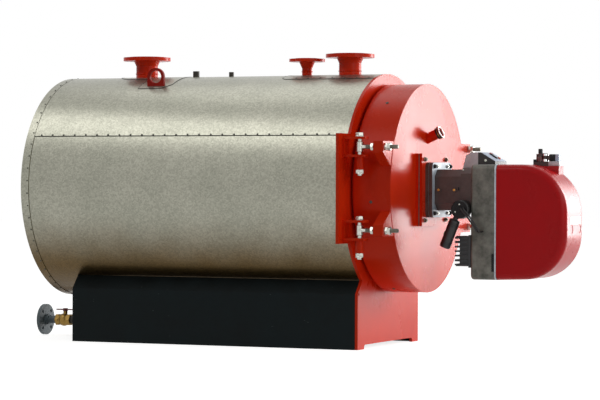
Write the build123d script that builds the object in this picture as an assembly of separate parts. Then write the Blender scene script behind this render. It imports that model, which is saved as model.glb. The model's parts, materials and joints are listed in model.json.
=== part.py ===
from build123d import *
import os
from math import asin, degrees, radians, sin, sqrt

# Horizontal hot-water boiler: an insulated pressure shell with a reversing furnace and one ring of
# smoke tubes, on a folded base, with a red front plate and a drum-shaped door that carries the burner.
# Millimetres. The pieces are built from the rear face of the front plate: +X towards the burner,
# -Y is the hinge side, +Z is up and z = 0 is the floor. They are set about the middle of the whole
# length as they are written.

# Body of the boiler
axis_height = 803
cladding_radius = 580
cladding_sheet = 1.5
cladding_length = 1807
seam_angle = 27
seam_lap = 2
seam_overlap = 20
rear_rim = 44
rear_sheet = 2
rear_joint = 3
shell_radius = 500
shell_wall = 10
insulation_sectors = 12
insulation_gap = 2
crest_half_angle = 10

# Furnace and smoke tubes
tube_plate_thickness = 14
furnace_radius = 240
furnace_wall = 12
furnace_length = 1420
furnace_knuckle = 110
smoke_tube_radius = 25.5
smoke_tube_wall = 3.2
smoke_tube_count = 26
smoke_tube_circle = 345
tube_stand_out = 4
rear_chamber = 190

# Base
base_half_width = 415
base_shoulder = 276
seat_half_width = 355
base_sheet = 4
base_foot_return = 40
base_rear_inset = 215
saddle_thickness = 10

# Front plate and its two side brackets
front_plate_radius = 582
front_plate_thickness = 15
door_opening_radius = 470
foot_width = 85
foot_recess = 22
foot_corner = 15
shoulder_hole = dict(y=401, z=277, radius=7)
bracket_reach = 667
bracket_half_height = 270
hinge_half_spacing = 204
ear_thickness = 12
ear_gap = 76
ear_length = 135
ear_half_width = 29
ear_corner = 12
bracket_lap = 110
fork_web = 12
ear_root = 620

# Hinge pins, eyebolts and lugs
pin_x = 95
pin_y = 592
pin_radius = 12
eye_radius = 18
eye_height = 50
eye_clearance = 0.1
rod_radius = 10.5
rod_end = 298
nut_across = 34
nut_height = 21
lug_front = 229
lug_depth = 52
lug_reach = 619
lug_half_height = 28
lug_gusset = 105
lug_root = 454
sleeve_radius = 19
sleeve_height = 61
pin_head_height = 15
pin_head_across = 36
washer_radius = 22
washer_thickness = 4
pin_tip = 10
locknut_height = 8

# Door
door_radius = 528
door_rear = 20
door_front = 231
door_sheet = 8
door_face = 10
door_neck_radius = 505
seal_width = 20
seal_thickness = 16
seal_carrier = 6
chamber_radius = 432
chamber_depth = 65
chamber_flare = 40
lining_gap = 2

# Sight tube
sight_height = 253
sight_offset = 18
sight_radius = 25.5
sight_length = 80
sight_tilt = 24
sight_ring_radius = 30.5
sight_ring_height = 10
sight_wall = 5
sight_glass_thickness = 4

# Top nozzles: place along the boiler, flange radius, bolt circle and bolts, flange thickness, pipe and hub
# radius, and how far the flange's face stands above the top of the cladding
supply = dict(x=-203, flange=125, circle=210, bolts=8, hole=18, thick=22, pipe=57.2, hub=69.5, rise=110)
returned = dict(x=-1372, flange=125, circle=210, bolts=8, hole=18, thick=22, pipe=57.2, hub=69.5, rise=110)
safety = dict(x=-444, flange=92.5, circle=145, bolts=4, hole=18, thick=18, pipe=26, hub=41.5, rise=89)
nozzle_wall = 4.5
raised_face_height = 3
face_margin = 2
hub_taper = 2.2
socket_rear = dict(x=-1081, radius=17, rise=31, thread=10.5)
socket_front = dict(x=-876, radius=13, rise=24, thread=8.5)
socket_depth = 20
cutter_reach = 20

# Patches in the cladding and the lifting lug
patch_sheet = 1.5
front_patch_length = 520
front_patch_half_angle = 17
rear_patch_rear = 1500
rear_patch_front = 1107
rear_patch_half_angle = 12.5
flap_rear = 1286
flap_angle = 28
patch_corner = 40
patch_chamfer = 45
rear_patch_corner = 110
lifting_lug_x = -1196
lifting_lug_y = -240
lifting_lug_width = 97
lifting_lug_height = 93
lifting_lug_hole = 32.5
lifting_lug_thickness = 15

# Flue
flue_radius = 125
flue_wall = 4
flue_length = 150
rear_cover_thickness = 8

# Drain
drain_height = 85
drain_pipe_radius = 21
drain_wall = 3
drain_drop = 70
drain_setback = 60
drain_flange = dict(x=-1984, radius=82.5, circle=125, bolts=4, hole=18, thick=18)
valve_front = -1826
valve_rear = -1912
valve_radius = 28.5
valve_ball_radius = 34
handle_x = -1862
handle_rise = 52
handle_length = 110
handle_width = 16
handle_thickness = 6
handle_hub_radius = 13
handle_hub_height = 4
valve_hex_length = 18
valve_neck_radius = 11
drain_hub = dict(wall=7, length=16)

# Burner
burner_drop = 7
mount_plate = 365
mount_plate_thickness = 14
gasket_thickness = 6
burner_flange_size = 276
burner_flange_thickness = 37
burner_flange_corner = 28
flange_groove = 3
mount_plate_corner = 3
gasket_inset = 2
blast_tube_radius = 90
blast_tube_wall = 4
blast_tube_end = -130
head_lip = 12
diffuser_setback = 40
diffuser_thickness = 6
diffuser_hole = 12
diffuser_slot = dict(count=8, inner=28, outer=66, width=8)
neck_half = 103
neck_chamfer = 36
neck_front = 444
ring_half = 112
ring_chamfer = 30
split_screws = [324, 408]
split_boss_radius = 12
split_boss_height = 7
split_groove = 3
body_rear = 507
body_front = 642
body_rim = 12
body_inset = 3
body_rear_edge = 12
intake = dict(rear=618, low=391, high=480, depth=25)
body_top = 924
body_bottom = 350
body_half_width = 145
body_corner = 26
hood_front = 1003
hood_top_radius = 240
hood_bottom_radius = 220
hood_bottom_rise = 12
hood_edge = 34
hood_recess = dict(radius=22, depth=2, height=605, near=-47, far=82)
motor_bottom = 415
motor_top = 566
motor_rear = 446
motor_near = -130
motor_far = 0
motor_edge = 14
motor_fin_rear = 421
motor_fin_count = 7
motor_fin_thickness = 5
motor_rib_depth = 7
motor_flange = dict(thickness=12, stand_out=6)
drive_x = 459
drive_z = 700
drive_radius = 47
drive_length = 58
drive_edge = 8
plug_x = 398
plug_z = 578
plug_radius = 27
plug_length = 150
plug_tilt = 22
gland_radius = 13
gland_length = 40
gland_lap = 10
cable_radius = 4.5
cable_spacing = 13
cable_start = (10, 5)
cable_run = [(34, -32), (62, -70), (88, -110)]
cable_stand_off = 16
cable_turns = [9, 30, 60, 9]
control_front = 598
control_near = -32
control_far = 138
control_height = 61
control_lip = 15
control_flat = 12
control_bracket_rear = 428
control_bracket_shoulder = (444, 60)
control_bracket_top = 474
control_bracket_width = 40
fittings_near = 40
fittings_far = 110
fittings_plate = dict(rear=775, height=13)
fittings_drop = 60  # how far their base is cut to the hood's curved top
fittings_foot = dict(rear=766, front=782, height=26, width=24)
regulator = dict(x=796, radius=17, height=40)
regulator_knob = dict(x=800, radius=10.5, height=26)
pressure_can = dict(x=826, radius=15, height=44)
switch_block = dict(rear=853, front=900, high=52, wedge_rear=838)
switch_base = dict(rear=853, front=908, height=16)

# Clearances
fit_gap = 0.3
pass_gap = 3

burner_height = axis_height - burner_drop
hinge_heights = [axis_height + hinge_half_spacing, axis_height - hinge_half_spacing]
sides = {"near": -1, "far": 1}
mount_front = door_front + 2 * mount_plate_thickness + gasket_thickness
flange_front = mount_front + burner_flange_thickness
drain_end = drain_flange["x"] - drain_flange["thick"] / 2
middle_x = (hood_front + drain_end) / 2
cover_face = -cladding_length + rear_sheet + fit_gap


def write(name, shape):
    export_step(shape.moved(Location((-middle_x, 0, 0))), f"parts/{name}.step")


def turned(points):
    """A solid of revolution about the boiler's axis, from an outline of (x, radius) points."""
    outline = Plane.XZ * Polygon(*points, align=None)
    return Pos(0, 0, axis_height) * revolve(outline, Axis.X)


def upright(points):
    """A solid of revolution about the vertical, from an outline of (radius, z) points."""
    return revolve(Plane.XZ * Polygon(*points, align=None), Axis.Z)


def along_x(radius, start, end, y=0, z=axis_height):
    """A round bar from x = start to x = end."""
    return Pos(start, y, z) * extrude(Plane.YZ * Circle(radius), end - start)


def along_z(radius, start, end, x=0, y=0):
    """A round bar from z = start to z = end."""
    return Pos(x, y, start) * extrude(Circle(radius), end - start)


def block(x_range, y_range, z_range):
    """A plain block between three pairs of limits."""
    size = [high - low for low, high in (x_range, y_range, z_range)]
    centre = [(low + high) / 2 for low, high in (x_range, y_range, z_range)]
    return Pos(*centre) * Box(*size)


def upright_hexagon(across, start, end, x, y):
    outline = RegularPolygon(across / 2, 6, major_radius=False)
    return Pos(x, y, start) * extrude(outline, end - start)


def hexagon_along_x(across, start, end, y, z):
    outline = Plane.YZ * RegularPolygon(across / 2, 6, major_radius=False)
    return Pos(start, y, z) * extrude(outline, end - start)


def seat_height(half_width, radius):
    """Height of a round section's lower side at a distance from its middle."""
    return axis_height - sqrt(radius**2 - half_width**2)


def base_outline(inset):
    """Cross-section of the base, as wide as the floor leaves it, less an inset on each side."""
    top = seat_height(seat_half_width, cladding_radius)
    slope = (base_half_width - seat_half_width) / (top - base_shoulder)
    drop = inset * (sqrt(1 + slope**2) - slope)
    half = [
        (base_half_width - inset, 0),
        (base_half_width - inset, base_shoulder - drop),
        (seat_half_width - inset, top - drop),
    ]
    return Polygon(*half, *[(-y, z) for y, z in reversed(half)], align=None)


def front_plate():
    outline = Pos(0, axis_height) * Circle(front_plate_radius) + base_outline(0)
    recess_half = base_half_width - foot_width
    recess = RectangleRounded(2 * recess_half, 2 * foot_recess, foot_corner)
    outline = outline - recess - Pos(0, axis_height) * Circle(door_opening_radius)
    spec = shoulder_hole
    for side in sides.values():
        outline = outline - Pos(side * spec["y"], spec["z"]) * Circle(spec["radius"])
    return extrude(Plane.YZ * outline, front_plate_thickness)


def drilled_plate(radius, x_rear, furnace_hole):
    plate = Circle(radius)
    if furnace_hole:
        plate = plate - Circle(furnace_radius + fit_gap)
    holes = PolarLocations(smoke_tube_circle, smoke_tube_count, start_angle=90)
    plate = plate - holes * Circle(smoke_tube_radius + fit_gap)
    return Pos(x_rear, 0, axis_height) * extrude(Plane.YZ * plate, tube_plate_thickness)


def smoke_tubes():
    back = -tube_plate_thickness - shell_inner_length - tube_plate_thickness - tube_stand_out
    ring = Circle(smoke_tube_radius) - Circle(smoke_tube_radius - smoke_tube_wall)
    rings = Sketch() + PolarLocations(smoke_tube_circle, smoke_tube_count, start_angle=90) * ring
    return Pos(back, 0, axis_height) * extrude(Plane.YZ * rings, tube_stand_out - back)


def furnace_blank(radius, rear, front):
    """A round bar with its rear edge turned to the knuckle of the furnace's dished end."""
    bar = along_x(radius, rear, front)
    return fillet(bar.edges().sort_by(Axis.X)[0], furnace_knuckle - (furnace_radius - radius))


def furnace_tube():
    """Plain rolled tube, welded to the dished end behind it."""
    rear = furnace_knuckle - furnace_length
    return (along_x(furnace_radius, rear, tube_stand_out)
            - along_x(furnace_radius - furnace_wall, rear, tube_stand_out))


def furnace_end():
    joint = furnace_knuckle - furnace_length - fit_gap
    outer = furnace_blank(furnace_radius, -furnace_length, 0)
    inner = furnace_blank(furnace_radius - furnace_wall, furnace_wall - furnace_length, 0)
    return (outer - inner) & along_x(furnace_radius, -furnace_length, joint)


def nozzle_bores(grow):
    """The round ways down through the shell for each flanged nozzle."""
    return [along_z(n["pipe"] + grow, axis_height, cladding_radius + axis_height + cutter_reach, n["x"])
            for n in (supply, returned, safety)]


def socket_bars(grow):
    return [along_z(s["radius"] + grow, axis_height, cladding_radius + axis_height + cutter_reach, s["x"])
            for s in (socket_rear, socket_front)]


def cut_all(shape, tools):
    for tool in tools:
        shape = shape - tool
    return shape


def pressure_shell():
    rear = cover_face + rear_cover_thickness
    shell = along_x(shell_radius, rear, -tube_plate_thickness)
    shell = shell - along_x(shell_radius - shell_wall, rear, -tube_plate_thickness)
    shell = cut_all(shell, nozzle_bores(-nozzle_wall))
    return shell - along_z(drain_pipe_radius - drain_wall, 0, axis_height, drain_drop_x)


def saddle_slot(grow):
    top = seat_height(seat_half_width, cladding_radius)
    return block((saddle_rear - grow, saddle_rear + saddle_thickness + grow),
                 (-seat_half_width - grow, seat_half_width + grow), (0, top + grow))


def insulation():
    """Mineral wool in slabs: sectors round the shell, and short slabs between the nozzles on the crest."""
    inner = shell_radius + fit_gap
    outer = cladding_radius - 2 * cladding_sheet - seam_lap - fit_gap
    rear = rear_joint_x - rear_rim + insulation_gap
    front = -insulation_gap
    step = (360 - 2 * crest_half_angle) / insulation_sectors
    half_gap = degrees(asin(insulation_gap / 2 / outer))
    slabs = []
    for i in range(insulation_sectors):
        start = 90 + crest_half_angle + i * step + half_gap
        slabs.append(sector(inner, outer, start, step - 2 * half_gap, rear, front))
    stops = [front]
    for x, radius in sorted([(n["x"], n["pipe"]) for n in (supply, returned, safety)], reverse=True):
        stops += [x + radius + pass_gap, x - radius - pass_gap]
    for spot in (socket_front, socket_rear):
        stops += [spot["x"] + spot["radius"] + pass_gap, spot["x"] - spot["radius"] - pass_gap]
    stops = sorted(stops + [rear], reverse=True)
    width = 2 * crest_half_angle - 2 * half_gap
    for end, start in zip(stops[::2], stops[1::2]):
        slabs.append(sector(inner, outer, 90 - crest_half_angle + half_gap, width, start, end))
    whole = Part() + slabs
    whole = whole - saddle_slot(pass_gap) - lifting_lug_blank(fit_gap)
    return whole - along_z(drain_pipe_radius + pass_gap, 0, axis_height, drain_drop_x)


def sector(inner, outer, start_angle, angle, x_start, x_end):
    """Part of a tube's wall between two angles, measured from the far side (+Y) over the top."""
    inner_arc = CenterArc((0, 0), inner, start_angle, angle)
    outer_arc = CenterArc((0, 0), outer, start_angle, angle)
    ends = [Line(inner_arc @ 0, outer_arc @ 0), Line(inner_arc @ 1, outer_arc @ 1)]
    face = make_face([inner_arc, outer_arc, *ends])
    return Pos(x_start, 0, axis_height) * extrude(Plane.YZ * face, x_end - x_start)


def cladding_upper():
    sheet = sector(cladding_radius - cladding_sheet, cladding_radius, seam_angle,
                   180 - 2 * seam_angle, rear_joint_x, 0)
    return cut_all(sheet, nozzle_bores(pass_gap) + socket_bars(pass_gap) + [lifting_lug_blank(fit_gap)])


def cladding_lower():
    outer = cladding_radius - cladding_sheet - fit_gap
    lap = degrees(asin(seam_overlap / outer))
    sheet = sector(outer - cladding_sheet, outer, 180 - seam_angle - lap,
                   180 + 2 * seam_angle + 2 * lap, rear_joint_x, 0)
    return sheet - saddle_slot(pass_gap) - along_z(drain_pipe_radius + pass_gap, 0, axis_height, drain_drop_x)


def cladding_patches():
    """Thin plates laid on the cladding: one round the front nozzles, one round the return nozzle."""
    inner = cladding_radius + fit_gap / 3
    outer = inner + patch_sheet
    ring = along_x(outer, -cladding_length, 0) - along_x(inner, -cladding_length, 0)
    half = cladding_radius * sin(radians(front_patch_half_angle))
    front = Rectangle(front_patch_length + patch_corner, 2 * half)
    front = fillet(front.vertices().group_by(Axis.X)[0], patch_corner)
    front = Pos(-front_patch_length / 2 + patch_corner / 2, 0) * front
    front = front & Pos(-front_patch_length / 2, 0) * Rectangle(front_patch_length, 3 * half)
    rear_half = cladding_radius * sin(radians(rear_patch_half_angle))
    flap_half = cladding_radius * sin(radians(flap_angle))
    rear = Pos(-(rear_patch_rear + rear_patch_front) / 2, 0) * Rectangle(
        rear_patch_rear - rear_patch_front, 2 * rear_half)
    rear = fillet(rear.vertices().group_by(Axis.X)[0], rear_patch_corner)
    flap = Polygon((-flap_rear, 0), (-flap_rear, -flap_half), (-rear_patch_front - patch_chamfer, -flap_half),
                   (-rear_patch_front, -flap_half + patch_chamfer), (-rear_patch_front, 0), align=None)
    outline = front + rear + flap
    prism = Pos(0, 0, axis_height) * extrude(outline, cladding_radius + cutter_reach)
    plates = ring & prism
    plates = cut_all(plates, nozzle_bores(pass_gap) + socket_bars(pass_gap))
    return plates - lifting_lug_blank(fit_gap)


def lifting_lug_blank(grow):
    """Arched plate parallel to the boiler's axis, long enough to reach the shell."""
    crown = lifting_lug_top - lifting_lug_width / 2
    half = lifting_lug_width / 2 + grow
    outline = Pos(lifting_lug_x, crown) * Circle(half)
    stem = Rectangle(2 * half, crown - axis_height)
    outline = outline + Pos(lifting_lug_x, (crown + axis_height) / 2) * stem
    thickness = lifting_lug_thickness + 2 * grow
    return Pos(0, lifting_lug_y + thickness / 2, 0) * extrude(Plane.XZ * outline, thickness)


def lifting_lug():
    lug = lifting_lug_blank(0) - along_x(shell_radius + fit_gap, -cladding_length, 0)
    hole_z = lifting_lug_top - lifting_lug_height / 2
    hole = Pos(lifting_lug_x, lifting_lug_y, hole_z) * Rot(X=90) * Cylinder(
        lifting_lug_hole, 4 * lifting_lug_thickness)
    return lug - hole


def rear_cap():
    outer = cladding_radius
    rear = -cladding_length
    inner = flue_radius + pass_gap
    return turned([
        (rear, inner), (rear, outer), (rear + rear_rim, outer), (rear + rear_rim, outer - rear_sheet),
        (rear + rear_sheet, outer - rear_sheet), (rear + rear_sheet, inner)])


def flue_spigot():
    face = cover_face
    bore = flue_radius - flue_wall
    end = -cladding_length - flue_length
    return turned([
        (face + rear_cover_thickness, bore), (face + rear_cover_thickness, shell_radius),
        (face, shell_radius), (face, flue_radius), (end, flue_radius), (end, bore)])


def nozzle(spec):
    """Weld-neck flange on a short pipe that stands on the shell."""
    top = axis_height + cladding_radius + spec["rise"]
    bore = spec["pipe"] - nozzle_wall
    under = top - spec["thick"]
    taper = hub_taper * (spec["hub"] - spec["pipe"])
    face_radius = spec["circle"] / 2 - spec["hole"] / 2 - face_margin
    body = upright([
        (bore, axis_height), (spec["pipe"], axis_height), (spec["pipe"], under - taper),
        (spec["hub"], under), (spec["flange"], under), (spec["flange"], top - raised_face_height),
        (face_radius, top - raised_face_height), (face_radius, top), (bore, top)])
    body = Pos(spec["x"], 0, 0) * body
    body = body - along_x(shell_radius + fit_gap, -cladding_length, 0)
    for spot in PolarLocations(spec["circle"] / 2, spec["bolts"], start_angle=180 / spec["bolts"]):
        hole = along_z(spec["hole"] / 2, under, top)
        body = body - Pos(spec["x"], 0, 0) * spot * hole
    return body


def socket(spec):
    top = axis_height + cladding_radius + spec["rise"]
    bar = along_z(spec["radius"], axis_height, top, spec["x"])
    bar = bar - along_x(shell_radius + fit_gap, -cladding_length, 0)
    return bar - along_z(spec["thread"], top - socket_depth, top, spec["x"])


def base_side(side):
    """Folded side panel, with its slope running up to the cladding and a return along the floor."""
    far_in = base_half_width - base_sheet - base_foot_return
    outline = base_outline(0) - base_outline(base_sheet)
    outline = outline - Pos(0, axis_height) * Circle(cladding_radius + fit_gap)
    keep_middle = base_half_width / 2 + seat_half_width / 4
    keep = Pos(keep_middle, axis_height / 2) * Rectangle(base_half_width, axis_height)
    sheet = outline & keep
    foot = Rectangle(base_half_width - far_in, base_sheet)
    sheet = sheet + Pos((far_in + base_half_width) / 2, base_sheet / 2) * foot
    panel = Pos(saddle_rear, 0, 0) * extrude(Plane.YZ * sheet, -saddle_rear)
    if side < 0:
        panel = mirror(panel, Plane.XZ)
    return panel


def base_rear():
    outline = base_outline(base_sheet + fit_gap)
    outline = outline - Pos(0, axis_height) * Circle(shell_radius + fit_gap)
    outline = outline - Rectangle(2 * base_half_width, 2 * (base_sheet + fit_gap))
    outline = outline - Pos(0, drain_height) * Circle(drain_pipe_radius + pass_gap)
    return Pos(saddle_rear, 0, 0) * extrude(Plane.YZ * outline, saddle_thickness)


def bracket(side):
    """Plate beside the front plate with two forks; each fork is a web on the plate and two ears."""
    plate = block((0, front_plate_thickness), (ear_root - bracket_lap, bracket_reach),
                  (axis_height - bracket_half_height, axis_height + bracket_half_height))
    plate = plate - along_x(front_plate_radius + fit_gap, 0, front_plate_thickness)
    for height in hinge_heights:
        for way in (-1, 1):
            middle = height + way * (ear_gap + ear_thickness) / 2
            ear = Pos((front_plate_thickness + ear_length) / 2, pin_y) * RectangleRounded(
                ear_length - front_plate_thickness, 2 * ear_half_width, ear_corner)
            root = Pos(front_plate_thickness + ear_corner, pin_y) * Rectangle(
                2 * ear_corner, 2 * ear_half_width)
            ear = extrude(ear + root, ear_thickness)
            plate = plate + Pos(0, 0, middle - ear_thickness / 2) * ear
        plate = plate + block((front_plate_thickness, front_plate_thickness + fork_web),
                              (pin_y - ear_half_width, pin_y + ear_half_width),
                              (height - ear_gap / 2, height + ear_gap / 2))
        plate = plate - along_z(pin_radius + fit_gap, height - ear_gap, height + ear_gap, pin_x, pin_y)
    return plate if side > 0 else mirror(plate, Plane.XZ)


def bracket_pin(side, height):
    """Bolt down through both ears, with a spacer sleeve and a nut under the lower ear."""
    y = side * pin_y
    top = height + ear_gap / 2 + ear_thickness + fit_gap
    under = height - ear_gap / 2 - ear_thickness - fit_gap
    head = upright_hexagon(pin_head_across, top + washer_thickness, top + washer_thickness + pin_head_height,
                           pin_x, y)
    washer = along_z(washer_radius, top, top + washer_thickness, pin_x, y)
    nut_top = under - sleeve_height
    shank = along_z(pin_radius, nut_top - nut_height - pin_tip, top + washer_thickness, pin_x, y)
    sleeve = along_z(sleeve_radius, nut_top, under, pin_x, y)
    nut = upright_hexagon(pin_head_across, nut_top - nut_height, nut_top, pin_x, y)
    return head + washer + shank + sleeve + nut


def eyebolt(side, height):
    """Eye on the pin, a threaded rod through the door's lug, and a nut on each side of the lug."""
    y = side * pin_y
    eye = along_z(eye_radius, height - eye_height / 2, height + eye_height / 2, pin_x, y)
    rod = along_x(rod_radius, pin_x, rod_end, y, height)
    back = lug_front - lug_depth
    rear_nut = hexagon_along_x(nut_across, back - fit_gap - nut_height, back - fit_gap, y, height)
    nuts_front = lug_front + fit_gap + nut_height + locknut_height
    front_nuts = hexagon_along_x(nut_across, lug_front + fit_gap, nuts_front, y, height)
    bolt = eye + rod + rear_nut + front_nuts
    return bolt - along_z(pin_radius + eye_clearance, height - eye_height, height + eye_height, pin_x, y)


def door_lug(side, height):
    """Thick plate welded to the drum's rim, tapering towards the middle of the door."""
    way = 1 if height > axis_height else -1
    near = lug_half_height * way
    far = -near - lug_gusset * way
    outline = Polygon((0, near), (lug_reach, near), (lug_reach, -near), (lug_root, far), (0, far), align=None)
    lug = extrude(Plane.YZ * outline, lug_depth, dir=(1, 0, 0))
    lug = Pos(lug_front - lug_depth, 0, height) * lug
    lug = lug - along_x(door_radius + fit_gap, 0, lug_front)
    lug = lug & block((0, lug_front), (0, lug_reach), (0, 2 * axis_height))
    lug = lug - along_x(rod_radius + fit_gap, 0, lug_front, pin_y, height)
    return lug if side > 0 else mirror(lug, Plane.XZ)


def door_shell():
    """Drum with a flat face, closed behind by a ring that carries the seal's channel on a smaller neck."""
    burner_hole = blast_tube_radius + pass_gap
    inner = door_radius - door_sheet
    channel = door_neck_radius - door_sheet
    ring_rear = door_rear + seal_thickness
    ring_front = ring_rear + seal_carrier
    drum = turned([
        (door_rear, channel), (door_rear, door_neck_radius), (ring_rear, door_neck_radius),
        (ring_rear, door_radius), (door_front, door_radius), (door_front, 0),
        (door_front - door_face, 0), (door_front - door_face, inner), (ring_front, inner),
        (ring_front, channel - seal_width), (ring_rear, channel - seal_width), (ring_rear, channel)])
    return drum - along_x(burner_hole, 0, door_front, 0, burner_height)


def door_seal():
    inner = door_neck_radius - door_sheet - seal_width
    outer = door_neck_radius - door_sheet - fit_gap
    rear = front_plate_thickness + fit_gap
    front = door_rear + seal_thickness - fit_gap
    return turned([(rear, inner), (rear, outer), (front, outer), (front, inner)])


def door_refractory():
    """Cast lining, dished where the gas turns back into the smoke tubes."""
    outer = door_radius - door_sheet - fit_gap
    rim = door_neck_radius - door_sheet - seal_width - lining_gap
    front = door_front - door_face - fit_gap
    step = door_rear + seal_thickness + seal_carrier + fit_gap
    floor = door_rear + chamber_depth
    lining = turned([
        (door_rear, chamber_radius), (door_rear, rim), (step, rim), (step, outer), (front, outer), (front, 0),
        (floor, 0), (floor, chamber_radius - chamber_flare)])
    return lining - along_x(blast_tube_radius + pass_gap, 0, door_front, 0, burner_height)


def sight_frame():
    return Pos(door_front, -sight_offset, axis_height + sight_height) * Rot(Y=90 - sight_tilt)


def sight_tube():
    tube = along_z(sight_radius, -sight_length / 2, sight_length)
    ring_low = sight_length - sight_ring_height
    tube = tube + along_z(sight_ring_radius, ring_low, sight_length)
    tube = sight_frame() * (tube - along_z(sight_radius - sight_wall, ring_low, sight_length))
    behind = block((0, door_front + fit_gap), (-door_radius, door_radius), (axis_height, 2 * axis_height))
    return tube - behind


def sight_glass():
    low = sight_length - sight_ring_height + fit_gap
    return sight_frame() * along_z(sight_radius - sight_wall - fit_gap, low, low + sight_glass_thickness)


def square_plate(size, corner, x_start, x_end, bore):
    outline = RectangleRounded(size, size, corner) - Circle(bore)
    return Pos(x_start, 0, burner_height) * extrude(Plane.YZ * outline, x_end - x_start)


def burner_plates():
    """The door's mounting plate and the burner's own plate, with the gasket's room between them."""
    bore = blast_tube_radius + pass_gap
    first = door_front + mount_plate_thickness
    second = first + gasket_thickness
    return (square_plate(mount_plate, mount_plate_corner, door_front + fit_gap, first - fit_gap, bore)
            + square_plate(mount_plate, mount_plate_corner, second + fit_gap,
                           second + mount_plate_thickness - fit_gap, bore))


def burner_gasket():
    first = door_front + mount_plate_thickness
    return square_plate(mount_plate - 2 * gasket_inset, mount_plate_corner, first, first + gasket_thickness,
                        blast_tube_radius + pass_gap)


def burner_flange():
    """Cast flange in two halves; a shallow groove runs round its edge where they meet."""
    bore = blast_tube_radius + fit_gap
    middle = (mount_front + flange_front) / 2
    whole = square_plate(burner_flange_size, burner_flange_corner, mount_front, flange_front, bore)
    groove_size = burner_flange_size - 2 * flange_groove
    outer = RectangleRounded(burner_flange_size + 1, burner_flange_size + 1, burner_flange_corner)
    inner = RectangleRounded(groove_size, groove_size, burner_flange_corner - flange_groove)
    groove = extrude(Plane.YZ * (outer - inner), flange_groove)
    return whole - Pos(middle - flange_groove / 2, 0, burner_height) * groove


def blast_tube():
    """Combustion head: an open tube with a turned-in lip and the diffuser disc a little inside it."""
    front = flange_front
    bore = blast_tube_radius - blast_tube_wall
    tube = along_x(blast_tube_radius, blast_tube_end, front, 0, burner_height)
    tube = tube - along_x(bore, blast_tube_end + head_lip, front, 0, burner_height)
    tube = tube - along_x(bore - head_lip, blast_tube_end, front, 0, burner_height)
    disc_rear = blast_tube_end + diffuser_setback
    disc_front = disc_rear + diffuser_thickness
    disc = along_x(bore, disc_rear, disc_front, 0, burner_height)
    spec = diffuser_slot
    for i in range(spec["count"]):
        slot = Pos(0, 0, burner_height) * Rot(X=360 / spec["count"] * i) * block(
            (disc_rear, disc_front), (-spec["width"] / 2, spec["width"] / 2), (spec["inner"], spec["outer"]))
        disc = disc - slot
    return tube + disc - along_x(diffuser_hole, disc_rear, disc_front, 0, burner_height)


def chamfered_bar(half, cut, start, end):
    """A bar along the burner's axis, square with its four long edges cut off."""
    outline = chamfer(Rectangle(2 * half, 2 * half).vertices(), cut)
    return Pos(start, 0, burner_height) * extrude(Plane.YZ * outline, end - start)


def burner_neck():
    """Cast neck in two halves, screwed together at bosses on both sides, with a ring at the body."""
    neck = chamfered_bar(neck_half, neck_chamfer, flange_front + fit_gap, neck_front)
    ring = chamfered_bar(ring_half, ring_chamfer, neck_front, body_rear - fit_gap)
    casting = neck + ring
    for side in sides.values():
        for x in split_screws:
            boss = Pos(x, side * neck_half, burner_height) * Rot(X=90) * Cylinder(
                split_boss_radius, 2 * split_boss_height)
            casting = casting + boss
        start, end = split_screws[0] + split_boss_radius, split_screws[1] - split_boss_radius
        y = side * neck_half
        casting = casting - block((start, end), (y - split_groove, y + split_groove),
                                  (burner_height - split_groove / 2, burner_height + split_groove / 2))
    return casting


def burner_body():
    """Cast housing with a rim that the hood meets, and the air intake in its near side."""
    side_wall = body_half_width - body_inset
    body = block((body_rear, body_front), (-side_wall, side_wall), (body_bottom, body_top))
    body = fillet(body.edges().filter_by(Axis.X), body_corner)
    body = fillet(body.faces().sort_by(Axis.X)[0].edges(), body_rear_edge)
    full_width = (-body_half_width, body_half_width)
    rim = block((body_front - body_rim, body_front), full_width, (body_bottom, body_top))
    rim = fillet(rim.edges().filter_by(Axis.X), body_corner)
    body = body + rim
    inside = intake["depth"] - body_half_width
    upright_range = (intake["low"], intake["high"])
    return body - block((intake["rear"], body_front), (-body_half_width, inside), upright_range)


def burner_hood_outline(grow, half):
    """Side view of the cover, drawn out across the burner: high at the body, round where it falls away."""
    start = body_front + fit_gap
    low = body_bottom - grow
    front = hood_front + grow
    high = body_top + grow
    outline = Polygon((start, low), (front, low + hood_bottom_rise), (front, high), (start, high), align=None)
    ends = outline.vertices().group_by(Axis.X)[-1].sort_by(Axis.Y)
    outline = fillet(ends[0], hood_bottom_radius + grow)
    top_end = outline.vertices().group_by(Axis.Y)[-1].sort_by(Axis.X)[-1]
    outline = fillet(top_end, hood_top_radius + grow)
    return Pos(0, half, 0) * extrude(Plane.XZ * outline, 2 * half)


def burner_hood():
    """Moulded cover with softened long edges and two round recesses in its end."""
    half = body_half_width
    hood = burner_hood_outline(0, half)
    start = body_front + fit_gap
    long_edges = [e for e in hood.edges()
                  if abs(abs(e.center().Y) - half) < 0.1 and e.center().X > start + 1]
    hood = fillet(long_edges, hood_edge)
    spec = hood_recess
    for y in (spec["near"], spec["far"]):
        hood = hood - along_x(spec["radius"], hood_front - spec["depth"], hood_front + 1, y, spec["height"])
    return hood


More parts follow.
